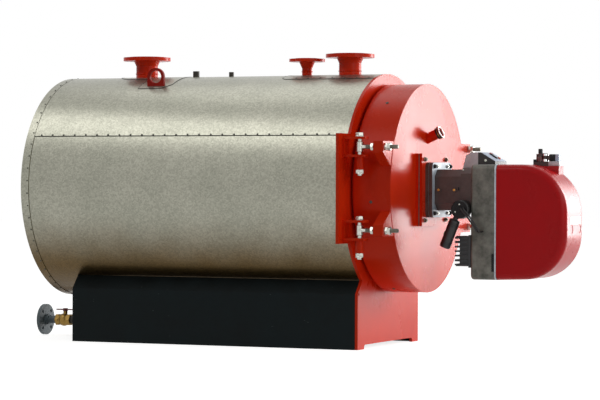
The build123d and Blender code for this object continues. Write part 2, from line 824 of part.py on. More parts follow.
def burner_motor():
    """Finned fan motor behind the body, with ribs to the rear and on its near side, and a flange."""
    core = block((motor_rear, body_rear - fit_gap), (motor_near, motor_far), (motor_bottom, motor_top))
    core = fillet(core.edges().filter_by(Axis.X), motor_edge)
    pitch = (motor_top - motor_bottom - motor_fin_thickness) / (motor_fin_count - 1)
    for i in range(motor_fin_count):
        z = motor_bottom + i * pitch
        inset = motor_edge if i in (0, motor_fin_count - 1) else 0
        fin = block((motor_fin_rear, motor_rear + 1), (motor_near + inset, motor_far - inset),
                    (z, z + motor_fin_thickness))
        core = core + fin
        if inset == 0:
            core = core + block((motor_rear, body_rear - motor_flange["thickness"]),
                                (motor_near - motor_rib_depth, motor_near + 1), (z, z + motor_fin_thickness))
    out = motor_flange["stand_out"]
    flange_range = (body_rear - motor_flange["thickness"], body_rear - fit_gap)
    return core + block(flange_range, (motor_near - motor_rib_depth, motor_far + out),
                        (motor_bottom - out, motor_top + out))


def burner_switchgear():
    """Round air-damper drive on the side of the neck's ring, and the plug that hangs below it."""
    y = -ring_half - fit_gap - drive_length / 2
    drive = Pos(drive_x, y, drive_z) * Rot(X=90) * Cylinder(drive_radius, drive_length)
    drive = fillet(drive.edges(), drive_edge)
    plug = Pos(plug_x, y, plug_z) * Rot(Y=plug_tilt) * Cylinder(plug_radius, plug_length)
    plug = fillet(plug.edges(), drive_edge)
    gland = Pos(plug_x, y, plug_z) * Rot(Y=plug_tilt) * Pos(0, 0, plug_length / 2 + gland_lap) * Cylinder(
        gland_radius, gland_length)
    return drive + plug + gland


def control_box():
    """Control panel on top of the body, with its sloping face towards the end of the burner."""
    low = body_top + fit_gap
    high = low + control_height
    outline = Polygon((body_rear, low), (control_front, low), (control_front, low + control_lip),
                      (body_rear + control_flat, high), (body_rear, high), align=None)
    return Pos(0, control_far, 0) * extrude(Plane.XZ * outline, control_far - control_near)


def control_bracket():
    """Raked light sheet behind the control panel, from the neck's ring up to the panel's top."""
    low = burner_height + ring_half + fit_gap
    high = body_top + control_height
    front = body_rear - fit_gap
    shoulder_x, shoulder_rise = control_bracket_shoulder
    outline = Polygon((control_bracket_rear, low), (front, low), (front, high), (control_bracket_top, high),
                      (shoulder_x, low + shoulder_rise), align=None)
    far = control_near + control_bracket_width
    return Pos(0, far, 0) * extrude(Plane.XZ * outline, control_bracket_width)


def gas_fittings():
    """Pressure regulator with its knob and can, and a switch block, on the hood's top."""
    y = (fittings_near + fittings_far) / 2
    top = body_top + fittings_plate["height"]
    low = body_top - fittings_drop
    across = (fittings_near, fittings_far)
    foot_half = fittings_foot["width"] / 2
    plate = block((fittings_plate["rear"], switch_base["rear"]), across, (low, top))
    plate = plate + block((fittings_foot["rear"], fittings_foot["front"]), (y - foot_half, y + foot_half),
                          (low, body_top + fittings_foot["height"]))
    plate = plate + block((switch_base["rear"], switch_base["front"]), across,
                          (low, body_top + switch_base["height"]))
    plate = plate - burner_hood_outline(fit_gap, body_half_width + fittings_far)
    body = along_z(regulator["radius"], top, top + regulator["height"], regulator["x"], y)
    knob_low = top + regulator["height"]
    knob_top = knob_low + regulator_knob["height"]
    knob = along_z(regulator_knob["radius"], knob_low, knob_top, regulator_knob["x"], y)
    can = along_z(pressure_can["radius"], top, top + pressure_can["height"], pressure_can["x"], y)
    spec = switch_block
    switch_low = body_top + switch_base["height"]
    middle = body_top + (switch_base["height"] + spec["high"]) / 2
    switch_top = body_top + spec["high"]
    side_view = Polygon((spec["rear"], switch_low), (spec["front"], switch_low), (spec["front"], switch_top),
                        (spec["rear"], switch_top), (spec["wedge_rear"], middle), align=None)
    switch = Pos(0, y + pressure_can["radius"], 0) * extrude(Plane.XZ * side_view, 2 * pressure_can["radius"])
    return plate + body + knob + can + switch


def burner_cables():
    """Two leads from the damper drive down to the foot of the body."""
    leads = []
    drive_face = -ring_half - drive_length - 2 * fit_gap
    out = drive_face - cable_stand_off
    along, rise = cable_start
    for offset in (0, cable_spacing):
        start_x = drive_x + along + offset
        start_z = drive_z + rise
        end_x, end_z = start_x + cable_run[-1][0], drive_z + cable_run[-1][1]
        points = [(start_x, drive_face, start_z), (start_x, out, start_z)]
        points += [(start_x + step, out, drive_z + drop) for step, drop in cable_run]
        points += [(end_x, body_inset - body_half_width - fit_gap, end_z)]
        path = FilletPolyline(*points, radius=cable_turns)
        section = Plane(origin=path @ 0, z_dir=path % 0) * Circle(cable_radius)
        leads.append(sweep(section, path))
    return Part() + leads


def drain_pipe():
    """From the bottom of the shell, round an elbow and out through the rear of the base."""
    radius = drain_drop
    down = along_z(drain_pipe_radius, drain_height + radius, axis_height, drain_drop_x)
    down = down - along_x(shell_radius + fit_gap, -cladding_length, 0)
    ring = Plane(origin=(drain_drop_x, 0, drain_height + radius), z_dir=(0, 0, 1)) * Circle(drain_pipe_radius)
    turn = Axis((drain_drop_x - radius, 0, drain_height + radius), (0, 1, 0))
    elbow = revolve(ring, turn, 90)
    back = along_x(drain_pipe_radius, valve_front + fit_gap, drain_drop_x - radius, 0, drain_height)
    return down + elbow + back


def drain_valve():
    body = along_x(valve_radius, valve_rear, valve_front, 0, drain_height)
    middle = (valve_front + valve_rear) / 2
    ball = Pos(middle, 0, drain_height) * Sphere(valve_ball_radius)
    across = 2 * valve_radius
    hexes = (hexagon_along_x(across, valve_rear, valve_rear + valve_hex_length, 0, drain_height)
             + hexagon_along_x(across, valve_front - valve_hex_length, valve_front, 0, drain_height))
    neck_top = drain_height + handle_rise - 2 * fit_gap - handle_thickness
    neck = along_z(valve_neck_radius, drain_height, neck_top, handle_x)
    return body + ball + hexes + neck


def valve_handle():
    z = drain_height + handle_rise
    bar = Pos(handle_x, 0, z) * SlotOverall(handle_length, handle_width)
    handle = extrude(bar, handle_thickness)
    hub = along_z(handle_hub_radius, z - handle_thickness, z + handle_thickness + handle_hub_height, handle_x)
    return handle + hub


def drain_flange_piece():
    spec = drain_flange
    rear = drain_end
    front = rear + spec["thick"]
    disc = along_x(spec["radius"], rear, front, 0, drain_height)
    hub = along_x(drain_pipe_radius + drain_hub["wall"], front, front + drain_hub["length"], 0, drain_height)
    pipe = along_x(drain_pipe_radius, front, valve_rear - fit_gap, 0, drain_height)
    flange = disc + hub + pipe
    for spot in PolarLocations(spec["circle"] / 2, spec["bolts"], start_angle=45):
        hole = Plane.YZ * spot * Circle(spec["hole"] / 2)
        flange = flange - Pos(rear, 0, drain_height) * extrude(hole, spec["thick"])
    return flange - along_x(drain_pipe_radius - drain_wall, rear, valve_rear - fit_gap, 0, drain_height)


rear_joint_x = -cladding_length + rear_rim + rear_joint
shell_inner_length = cladding_length - rear_chamber - 2 * tube_plate_thickness
saddle_rear = -cladding_length + base_rear_inset
drain_drop_x = saddle_rear + saddle_thickness + drain_drop + drain_setback
lifting_lug_top = axis_height + sqrt(cladding_radius**2 - lifting_lug_y**2) + lifting_lug_height

os.makedirs("parts", exist_ok=True)
write("front_plate", front_plate())
write("tube_plate", drilled_plate(shell_radius, -tube_plate_thickness, True))
write("rear_tube_plate", drilled_plate(shell_radius - shell_wall - fit_gap,
                                       -2 * tube_plate_thickness - shell_inner_length, False))
write("furnace_tube", furnace_tube())
write("furnace_end", furnace_end())
write("smoke_tubes", smoke_tubes())
write("pressure_shell", pressure_shell())
write("insulation", insulation())
write("cladding_upper", cladding_upper())
write("cladding_lower", cladding_lower())
write("cladding_patches", cladding_patches())
write("rear_cap", rear_cap())
write("flue_spigot", flue_spigot())
write("supply_nozzle", nozzle(supply))
write("return_nozzle", nozzle(returned))
write("safety_nozzle", nozzle(safety))
write("sockets", Part() + [socket(socket_rear), socket(socket_front)])
write("lifting_lug", lifting_lug())
for name, side in sides.items():
    write(f"base_side_{name}", base_side(side))
    write(f"bracket_{name}", bracket(side))
    write(f"eyebolts_{name}", Part() + [eyebolt(side, z) for z in hinge_heights])
    write(f"bracket_pins_{name}", Part() + [bracket_pin(side, z) for z in hinge_heights])
write("base_rear", base_rear())
write("door_lugs", Part() + [door_lug(side, z) for side in sides.values() for z in hinge_heights])
write("door_shell", door_shell())
write("door_seal", door_seal())
write("door_refractory", door_refractory())
write("sight_tube", sight_tube())
write("sight_glass", sight_glass())
write("burner_plates", burner_plates())
write("burner_gasket", burner_gasket())
write("burner_flange", burner_flange())
write("blast_tube", blast_tube())
write("burner_neck", burner_neck())
write("burner_body", burner_body())
write("burner_hood", burner_hood())
write("burner_motor", burner_motor())
write("burner_switchgear", burner_switchgear())
write("burner_cables", burner_cables())
write("control_box", control_box())
write("control_bracket", control_bracket())
write("gas_fittings", gas_fittings())
write("drain_pipe", drain_pipe())
write("drain_valve", drain_valve())
write("valve_handle", valve_handle())
write("drain_flange", drain_flange_piece())
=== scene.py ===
import bpy
import json
from math import cos, degrees, pi, radians, sin
from mathutils import Euler, Matrix, Vector


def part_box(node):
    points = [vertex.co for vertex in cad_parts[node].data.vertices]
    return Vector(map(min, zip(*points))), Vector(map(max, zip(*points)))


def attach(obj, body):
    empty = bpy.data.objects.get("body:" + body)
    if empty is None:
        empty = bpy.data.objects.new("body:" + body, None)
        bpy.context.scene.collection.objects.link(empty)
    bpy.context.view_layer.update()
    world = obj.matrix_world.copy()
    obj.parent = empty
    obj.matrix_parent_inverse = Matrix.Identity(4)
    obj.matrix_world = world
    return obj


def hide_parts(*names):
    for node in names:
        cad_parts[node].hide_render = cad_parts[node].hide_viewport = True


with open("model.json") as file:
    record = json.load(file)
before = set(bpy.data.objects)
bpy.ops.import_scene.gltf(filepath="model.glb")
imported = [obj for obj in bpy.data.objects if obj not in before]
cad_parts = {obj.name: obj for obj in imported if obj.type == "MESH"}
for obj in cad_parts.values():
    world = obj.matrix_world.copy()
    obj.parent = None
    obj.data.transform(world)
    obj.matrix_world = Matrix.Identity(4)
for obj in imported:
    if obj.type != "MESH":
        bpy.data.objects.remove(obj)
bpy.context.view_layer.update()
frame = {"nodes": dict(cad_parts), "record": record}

mm = 0.001
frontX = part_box("front_plate")[0][0]  # rear face of the front plate, where lengths along the boiler start
capLow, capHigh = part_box("rear_cap")
axisZ = (capLow.z + capHigh.z) / 2
claddingRadius = (capHigh.z - capLow.z) / 2
seamAngle = 27  # height on the round where the upper sheet laps the lower one
sides = {"near": -1, "far": 1}
smoothAngle = 35  # edges sharper than this are bevelled and not shaded smooth
white = (1, 1, 1, 1)
print("frame loaded")


# Places and modelling steps

def spot(x, y, z):
    # millimetres from the front plate's rear face, the boiler's middle and the floor
    return Vector((frontX + x * mm, y * mm, z * mm))


def onRound(x, angle, radius):
    # place on a round shell; angle 0 points to the hinge side and 90 straight up
    return Vector((x, -radius * cos(radians(angle)), axisZ + radius * sin(radians(angle))))


def turnTo(direction, spin=0):
    # turn that stands a piece's own Z along a direction
    quarter = Vector((0, 0, 1)).rotation_difference(Vector(direction))
    return quarter.to_matrix().to_4x4() @ Matrix.Rotation(radians(spin), 4, "Z")


def onShell(x, angle, radius=claddingRadius):
    # place and outward turn of a fastener on a round shell
    return onRound(x, angle, radius), turnTo(onRound(0, angle, 1) - Vector((0, 0, axisZ)))


def clearSelection():
    if bpy.context.object and bpy.context.object.mode != "OBJECT":
        endEdit()
    bpy.ops.object.select_all(action="DESELECT")


def pick(*pieces):
    clearSelection()
    for piece in pieces:
        piece.select_set(True)
    bpy.context.view_layer.objects.active = pieces[0]


def startEdit(kind="VERT", action="SELECT"):
    # edit mode with all of the mesh selected, or nothing of it
    bpy.ops.object.mode_set(mode="EDIT")
    bpy.ops.mesh.select_mode(type=kind)
    bpy.ops.mesh.select_all(action=action)


def endEdit():
    bpy.ops.object.mode_set(mode="OBJECT")


def editEdges(piece, test):
    # edit mode with the edges whose two ends pass the test selected
    pick(piece)
    startEdit("EDGE", "DESELECT")
    endEdit()
    points = piece.data.vertices
    for edge in piece.data.edges:
        first, second = edge.vertices
        edge.select = test(points[first].co, points[second].co)
    bpy.ops.object.mode_set(mode="EDIT")


def modify(piece, kind, **settings):
    # adds one modifier with its settings and applies it
    modifier = piece.modifiers.new(kind, kind)
    for name, value in settings.items():
        setattr(modifier, name, value)
    pick(piece)
    bpy.ops.object.modifier_apply(modifier=kind)


def softenEdges(piece, width, segments=2):
    modify(piece, "BEVEL", width=width * mm, segments=segments, limit_method="ANGLE",
           angle_limit=radians(smoothAngle))


def joined(pieces):
    pick(*pieces)
    if len(pieces) > 1:
        bpy.ops.object.join()
    return pieces[0]


def copiesOf(master, places):
    # one mesh from a master set at each (place, turn); the master itself goes
    copies = []
    for place, turn in places:
        copy = master.copy()
        copy.data = master.data.copy()
        bpy.context.collection.objects.link(copy)
        copy.matrix_world = Matrix.Translation(place) @ turn
        copies.append(copy)
    bpy.data.objects.remove(master)
    pick(*copies)
    bpy.ops.object.transform_apply(location=True, rotation=True, scale=True)
    return joined(copies)


def settle(piece, name, material, body, replaced=None):
    # last step of every piece: place into the mesh, finish, smooth shading and the body it rides on
    pick(piece)
    bpy.ops.object.transform_apply(location=True, rotation=True, scale=True)
    piece.name = name
    piece.data.name = name
    piece.data.materials.clear()
    piece.data.materials.append(material)
    bpy.ops.object.shade_smooth_by_angle(angle=radians(smoothAngle))
    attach(piece, body)
    if replaced:
        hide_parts(replaced)


def roundBar(radius, length, place=(0, 0, 0), turn=None, corners=32):
    # plain bar along its own Z, standing on its place
    clearSelection()
    bpy.ops.mesh.primitive_cylinder_add(vertices=corners, radius=radius * mm, depth=length * mm)
    bar = bpy.context.object
    rise = Matrix.Translation((0, 0, length * mm / 2))
    bar.matrix_world = Matrix.Translation(place) @ (turn or Matrix()) @ rise
    return bar


def slab(size, place=(0, 0, 0), turn=None):
    # plain block of that size in mm about its place
    clearSelection()
    bpy.ops.mesh.primitive_cube_add(size=1)
    block = bpy.context.object
    block.scale = [s * mm for s in size]
    bpy.ops.object.transform_apply(location=False, rotation=False, scale=True)
    block.matrix_world = Matrix.Translation(place) @ (turn or Matrix())
    return block


def lathe(profile, place=(0, 0, 0), turn=None, steps=48):
    # outline of (radius, height) in mm spun about its own Z
    clearSelection()
    bpy.ops.mesh.primitive_plane_add(size=mm)
    piece = bpy.context.object
    startEdit()
    bpy.ops.mesh.merge(type="CENTER")
    endEdit()
    piece.data.vertices[0].co = (profile[0][0] * mm, 0, profile[0][1] * mm)
    startEdit()
    for before, after in zip(profile, profile[1:]):
        step = ((after[0] - before[0]) * mm, 0, (after[1] - before[1]) * mm)
        bpy.ops.mesh.extrude_vertices_move(TRANSFORM_OT_translate={"value": step})
    bpy.ops.mesh.select_all(action="SELECT")
    bpy.ops.mesh.spin(steps=steps, angle=2 * pi, center=(0, 0, 0), axis=(0, 0, 1))
    bpy.ops.mesh.select_all(action="SELECT")
    bpy.ops.mesh.remove_doubles(threshold=0.01 * mm)
    bpy.ops.mesh.normals_make_consistent(inside=False)
    endEdit()
    piece.matrix_world = Matrix.Translation(place) @ (turn or Matrix())
    return piece


def beadRing(radius, bead, place, turn=None, steps=64):
    # half-round bead on a round bar, as a weld or a rolled edge leaves it
    half, inner = bead / 2, radius - 1
    bend = half * 0.7  # the half round at 45 degrees
    outline = [(inner, -half), (radius + bend, -bend), (radius + half, 0), (radius + bend, bend),
               (inner, half), (inner, -half)]
    return lathe(outline, place, turn, steps)


def screwHead(radius, height):
    # cheese head with a turned-off rim and a round socket, standing on its own base
    socket, depth = radius * 0.45, height * 0.45
    rim, shoulder = radius * 0.82, height * 0.7
    return lathe([(0, depth), (socket, depth), (socket, height), (rim, height), (radius, shoulder),
                  (radius, 0), (0, 0)], steps=20)


# Materials

def toLinear(color):
    channels = [int(color[i:i + 2], 16) / 255 for i in (1, 3, 5)]
    return tuple(c / 12.92 if c <= 0.04045 else ((c + 0.055) / 1.055) ** 2.4 for c in channels) + (1.0,)


def feed(node, inputs):
    # each input takes a plain value, or a link where another node's output is given
    for name, value in inputs.items():
        if isinstance(value, bpy.types.NodeSocket):
            node.id_data.links.new(value, node.inputs[name])
        else:
            node.inputs[name].default_value = value


def addNode(tree, kind, inputs=None, **settings):
    node = tree.nodes.new("ShaderNode" + kind)
    for name, value in settings.items():
        setattr(node, name, value)
    feed(node, inputs or {})
    return node


def shaderOf(material):
    return material.node_tree.nodes["Principled BSDF"]


def colourOf(material):
    # what gives the finish its colour so far
    return shaderOf(material).inputs["Base Color"].links[0].from_socket


def placeOn(material):
    # the point on the piece, for a pattern that is added to its finish
    return material.node_tree.nodes["place"].outputs["Object"]


def finishOf(name, patch, tones, gloss, grain, depth, spread=(0.32, 0.68), metal=0.0, specular=0.5, ior=1.5):
    # one surface: tones in patches, the spread of its gloss, and its grain, each at its size in mm
    material = bpy.data.materials.new(name)
    material.use_nodes = True
    tree = material.node_tree
    place = addNode(tree, "TexCoord", name="place").outputs["Object"]
    patches = addNode(tree, "TexNoise", {
        "Vector": place, "Scale": 1000 / patch, "Detail": 7.0, "Roughness": 0.62}).outputs["Fac"]
    colours = addNode(tree, "ValToRGB", {"Fac": patches})
    for stop, position, tone in zip(colours.color_ramp.elements, spread, tones):
        stop.position = position
        stop.color = toLinear(tone)
    dullness = addNode(tree, "MapRange", {
        "Value": patches, "From Min": 0.3, "From Max": 0.7, "To Min": gloss[0], "To Max": gloss[1]})
    skin = addNode(tree, "TexNoise", {
        "Vector": place, "Scale": 1000 / grain, "Detail": 3.0, "Roughness": 0.55})
    bump = addNode(tree, "Bump", {
        "Height": skin.outputs["Fac"], "Strength": 1.0, "Distance": depth * mm})
    feed(shaderOf(material), {
        "Base Color": colours.outputs["Color"], "Roughness": dullness.outputs["Result"],
        "Normal": bump.outputs["Normal"], "Metallic": metal, "IOR": ior, "Specular IOR Level": specular})
    return material


def laidOver(material, share, tone):
    # second colour over a finish where share is 1
    mixed = addNode(material.node_tree, "Mix", {
        "Factor": share, 6: colourOf(material), 7: toLinear(tone)}, data_type="RGBA")
    feed(shaderOf(material), {"Base Color": mixed.outputs[2]})
    return material


def spangled(material, look):
    # zinc spangles, each with its own brightness, sheen and tilt, on a skin that waves a little over the wool
    tree = material.node_tree
    place = placeOn(material)
    warp = addNode(tree, "TexNoise", {"Vector": place, "Scale": 1000 / look["warp"], "Detail": 2.0})
    bent = addNode(tree, "VectorMath", {
        0: warp.outputs["Color"], 1: [look["warpReach"] * mm] * 3, 2: place}, operation="MULTIPLY_ADD")
    spangle = addNode(tree, "TexVoronoi", {
        "Vector": bent.outputs["Vector"], "Scale": 1000 / look["spangle"]})
    split = addNode(tree, "SeparateColor", {"Color": spangle.outputs["Color"]})
    bright, sheen = (addNode(tree, "MapRange", {
        "Value": split.outputs[channel], "To Min": look[name][0], "To Max": look[name][1]})
        for channel, name in (("Red", "bright"), ("Green", "sheen")))
    shade = addNode(tree, "VectorMath", {
        0: colourOf(material), "Scale": bright.outputs["Result"]}, operation="SCALE")
    tilt = addNode(tree, "Bump", {
        "Height": split.outputs["Blue"], "Strength": 0.55, "Distance": look["spangleDepth"] * mm})
    wave = addNode(tree, "TexNoise", {"Vector": place, "Scale": 1000 / look["wave"], "Detail": 1.0})
    skin = addNode(tree, "Bump", {
        "Height": wave.outputs["Fac"], "Strength": 0.6, "Distance": look["waveDepth"] * mm,
        "Normal": tilt.outputs["Normal"]})
    feed(shaderOf(material), {
        "Base Color": shade.outputs["Vector"], "Roughness": sheen.outputs["Result"],
        "Normal": skin.outputs["Normal"]})
    return material


def paintedReflectionLow(material, look):
    # painted reflection: the zinc is made browner and darker towards the floor, standing in for the brown
    # floor it reflects there
    tree = material.node_tree
    place = placeOn(material)
    height = addNode(tree, "SeparateXYZ", {"Vector": place})
    ragged = addNode(tree, "TexNoise", {"Vector": place, "Scale": 1000 / look["ragged"]})
    level = addNode(tree, "Math", {
        0: ragged.outputs["Fac"], 1: look["raggedDepth"] * mm, 2: height.outputs["Z"]},
        operation="MULTIPLY_ADD")
    aboveReflection = addNode(tree, "MapRange", {
        "Value": level.outputs["Value"], "From Min": look["low"] * mm, "From Max": look["high"] * mm},
        interpolation_type="SMOOTHSTEP")
    # below that ragged level the zinc's colour is multiplied by the brown of the painted reflection
    tint = addNode(tree, "Mix", {
        "Factor": aboveReflection.outputs["Result"], 6: toLinear(look["tint"]), 7: white}, data_type="RGBA")
    shade = addNode(tree, "VectorMath", {0: colourOf(material), 1: tint.outputs[2]}, operation="MULTIPLY")
    feed(shaderOf(material), {"Base Color": shade.outputs["Vector"]})
    return material


def scuffed(material, look):
    # small pale scratches and chips where the paint was knocked
    tree = material.node_tree
    stretched = addNode(tree, "Mapping", {"Vector": placeOn(material), "Scale": (1, 1, look["stretch"])})
    marks = addNode(tree, "TexNoise", {
        "Vector": stretched.outputs["Vector"], "Scale": 1000 / look["size"], "Detail": 4.0, "Roughness": 0.7})
    seen = addNode(tree, "MapRange", {
        "Value": marks.outputs["Fac"], "From Min": look["from"], "From Max": look["from"] + look["edge"],
        "To Max": look["strength"]})
    return laidOver(material, seen.outputs["Result"], look["bare"])


def stickerOn(material, look):
    # plain pale plate let into the hood's end: a rectangle on the face that looks forward
    tree = material.node_tree
    split = addNode(tree, "SeparateXYZ", {"Vector": placeOn(material)})
    middle = spot(look["face"], *look["middle"])
    share = 1.0
    for test, axis, level, margin in (("COMPARE", "Y", middle.y, look["size"][0] / 2 * mm),
                                      ("COMPARE", "Z", middle.z, look["size"][1] / 2 * mm),
                                      ("GREATER_THAN", "X", middle.x - look["behind"] * mm, 0)):
        passed = addNode(tree, "Math", {0: split.outputs[axis], 1: level, 2: margin}, operation=test)
        both = addNode(tree, "Math", {0: share, 1: passed.outputs["Value"]}, operation="MULTIPLY")
        share = both.outputs["Value"]
    return laidOver(material, share, look["tone"])


def lowerPart(material, tone, below):
    # foot that is finished in another colour up to a height
    tree = material.node_tree
    split = addNode(tree, "SeparateXYZ", {"Vector": placeOn(material)})
    low = addNode(tree, "Math", {0: split.outputs["Z"], 1: below * mm}, operation="LESS_THAN")
    return laidOver(material, low.outputs["Value"], tone)


def frontFaced(material, tone):
    # casting whose front face (+X) was machined, so that it is paler than its sides
    tree = material.node_tree
    normal = addNode(tree, "NewGeometry").outputs["True Normal"]
    facing = addNode(tree, "SeparateXYZ", {"Vector": normal})
    squareOn = 0.9  # the normal's share along X from which a face counts as the front
    front = addNode(tree, "Math", {0: facing.outputs["X"], 1: squareOn}, operation="GREATER_THAN")
    return laidOver(material, front.outputs["Value"], tone)


finishes = {
    # gloss enamel sprayed over plate: deep red, a wet-looking skin with a little orange peel
    "red_paint": finishOf("redGlossEnamel", patch=340, tones=("#dc2d08", "#e6360f"), gloss=(0.22, 0.32),
        grain=22, depth=0.10, specular=0.115),
    # the same enamel, thin over the cut edges and the lug, where primer darkens it
    "dark_red_paint": finishOf("darkRedEnamel", patch=60, tones=("#8c160c", "#a81f10"),
        gloss=(0.35, 0.5), grain=12, depth=0.1, specular=0.15),
    # hot-dip galvanised steel: zinc spangles 6 to 12 mm across, with a painted reflection that makes it
    # browner and darker low down
    "galvanised_sheet": paintedReflectionLow(spangled(finishOf("galvanisedSteelSheet", patch=260,
        tones=("#909083", "#9a998c"), gloss=(0.30, 0.40), grain=90, depth=0.5, metal=0.9), {
        "warp": 30, "warpReach": 12, "spangle": 7.0, "spangleDepth": 0.35, "wave": 420, "waveDepth": 2.2,
        "bright": (0.84, 1.16), "sheen": (0.28, 0.38)}), {
        "tint": "#9a7c50", "low": 400, "high": 720, "ragged": 160, "raggedDepth": 60}),
    # black stove paint on folded steel, dusty and a little scuffed
    "black_paint": scuffed(finishOf("blackStovePaint", patch=180, tones=("#0a1112", "#131c1e"),
        gloss=(0.40, 0.54), grain=26, depth=0.12, specular=0.1), {"size": 55, "stretch": 2.2, "from": 0.70,
        "edge": 0.03, "strength": 0.45, "bare": "#6d7472"}),
    # mill scale on hot-rolled plate and tube: dull brown-grey
    "scaled_steel": finishOf("millScaledSteel", patch=70, tones=("#3b3531", "#57524c"),
        gloss=(0.5, 0.7), grain=5, depth=0.2, metal=0.6),
    # black malleable iron fittings and pipe
    "black_steel": finishOf("blackIronPipe", patch=30, tones=("#1d1a16", "#3a342b"), gloss=(0.4, 0.6),
        grain=5, depth=0.2, metal=0.5),
    # slip-on pipe flange with a blue-grey shop coat
    "grey_steel": finishOf("greyPrimedSteel", patch=40, tones=("#4a565b", "#6a777c"), gloss=(0.4, 0.55),
        grain=6, depth=0.12),
    # cast brass gone dull
    "valve_brass": finishOf("dullBrass", patch=25, tones=("#7a6130", "#97793f"), gloss=(0.35, 0.5),
        grain=5, depth=0.15, metal=0.9),
    # bright zinc plating on bolts and nuts
    "zinc_steel": finishOf("zincPlatedSteel", patch=18, tones=("#a9aaa0", "#c9cbc4"),
        gloss=(0.22, 0.36), grain=4, depth=0.06, metal=1.0),
    # mineral wool slab, coarse and yellow-brown
    "mineral_wool": finishOf("mineralWool", patch=40, tones=("#9a8a4e", "#c6b878"), gloss=(0.85, 0.98),
        grain=4, depth=1.5),
    # cast refractory, sandy and pale
    "refractory": finishOf("castRefractory", patch=50, tones=("#b3a68e", "#d3c8b2"), gloss=(0.8, 0.95),
        grain=4, depth=0.8),
    # graphite-dusted ceramic rope
    "seal_rope": finishOf("graphiteRope", patch=20, tones=("#27272a", "#3f3f42"), gloss=(0.7, 0.9),
        grain=4, depth=0.8),
    # pressed fibre gasket
    "grey_gasket": finishOf("pressedFibre", patch=20, tones=("#6f6c66", "#94918a"), gloss=(0.7, 0.85),
        grain=3, depth=0.2),
    # brown-grey painted cast iron with a fine sand texture
    "burner_casting": finishOf("paintedCastIron", patch=60, tones=("#41312e", "#574743"),
        gloss=(0.38, 0.52), grain=4, depth=0.16),
    # bare pressure-cast aluminium, cloudy grey with flow marks
    "grey_casting": finishOf("castAluminium", patch=62, tones=("#45473f", "#808179"), gloss=(0.45, 0.6),
        grain=5, depth=0.14, spread=(0.36, 0.66), metal=0.25),
    # moulded glass-filled plastic with a deep red gloss
    "hood_plastic": finishOf("redMouldedPlastic", patch=200, tones=("#c00d13", "#cb1219"),
        gloss=(0.24, 0.34), grain=7, depth=0.05, specular=0.16),
    # black enamelled aluminium of the fan motor
    "black_motor": finishOf("blackMotorEnamel", patch=40, tones=("#0a0d0f", "#171c1f"),
        gloss=(0.4, 0.55), grain=5, depth=0.1),
    # glass-filled nylon, black and slightly pitted
    "black_plastic": finishOf("blackNylon", patch=30, tones=("#0d0d0d", "#1c1b1a"), gloss=(0.38, 0.55),
        grain=3, depth=0.08),
    # soft black cable sheath
    "cable_rubber": finishOf("blackCableSheath", patch=25, tones=("#0b0b0b", "#1a1a1a"),
        gloss=(0.45, 0.6), grain=3, depth=0.05),
    # pale powder coat on thin sheet
    "light_sheet": finishOf("palePowderCoat", patch=40, tones=("#c9ced6", "#e2e5ea"),
        gloss=(0.35, 0.45), grain=3, depth=0.05),
    # tinted sight glass, dark because the furnace behind it is dark
    "sight_glass": finishOf("darkSightGlass", patch=20, tones=("#15181a", "#23282b"), gloss=(0.05, 0.1),
        grain=9, depth=0.02, ior=1.52),
}
# yellow passivated screws that read as brass
brassScrew = finishOf("yellowZincScrew", patch=8, tones=("#a8783c", "#cf9a55"), gloss=(0.25, 0.4),
    grain=3, depth=0.05, metal=1.0)
# machined casting that the hood closes on, pale with a blue cast
machinedFace = finishOf("machinedCastFace", patch=16, tones=("#98a3ad", "#c4ccd4"), gloss=(0.42, 0.58),
    grain=3, depth=0.08, metal=0.5)
# blackened steel thread with oil on it
oiledSteel = finishOf("oiledThreadSteel", patch=10, tones=("#4e4a40", "#78736a"), gloss=(0.3, 0.45),
    grain=3, depth=0.05, metal=1.0)
# bright red injection-moulded button
buttonRed = finishOf("redButtonPlastic", patch=8, tones=("#b3141c", "#c81c22"), gloss=(0.25, 0.35),
    grain=3, depth=0.02)
# black rubber and nylon of seals, knobs and switches; also the dark beads of painted shade along the
# cladding's laps
softBlack = finishOf("blackRubber", patch=12, tones=("#08090a", "#141516"), gloss=(0.4, 0.55), grain=3,
    depth=0.05, specular=0.25)
# bright chrome of the pressure can and the sight tube's rim
brightChrome = finishOf("chromePlate", patch=14, tones=("#d6d8d8", "#f0f1f1"), gloss=(0.12, 0.22),
    grain=5, depth=0.02, metal=1.0)
# red-brown enamel of the gas regulator
regulatorEnamel = finishOf("brownRedEnamel", patch=16, tones=("#4a1414", "#6b2220"), gloss=(0.3, 0.42),
    grain=4, depth=0.06)
# pale blue-grey lacquered panel and end caps
panelLacquer = finishOf("paleBlueLacquer", patch=22, tones=("#a9bbd6", "#c9d6e8"), gloss=(0.28, 0.38),
    grain=3, depth=0.03)
# plain green mark on the plug
greenMark = finishOf("greenMouldedMark", patch=8, tones=("#0a5c2c", "#0f7038"), gloss=(0.35, 0.45),
    grain=2, depth=0.03)
# dulled rivets and screws, darker than the sheet they hold
dullRivet = finishOf("dulledRivetSteel", patch=10, tones=("#3a3a34", "#5a5a52"), gloss=(0.4, 0.55),
    grain=3, depth=0.05, metal=0.7)
# orange lens of the lamp button
buttonOrange = finishOf("orangeLensPlastic", patch=8, tones=("#c8461c", "#d85a2a"), gloss=(0.2, 0.3),
    grain=3, depth=0.02)

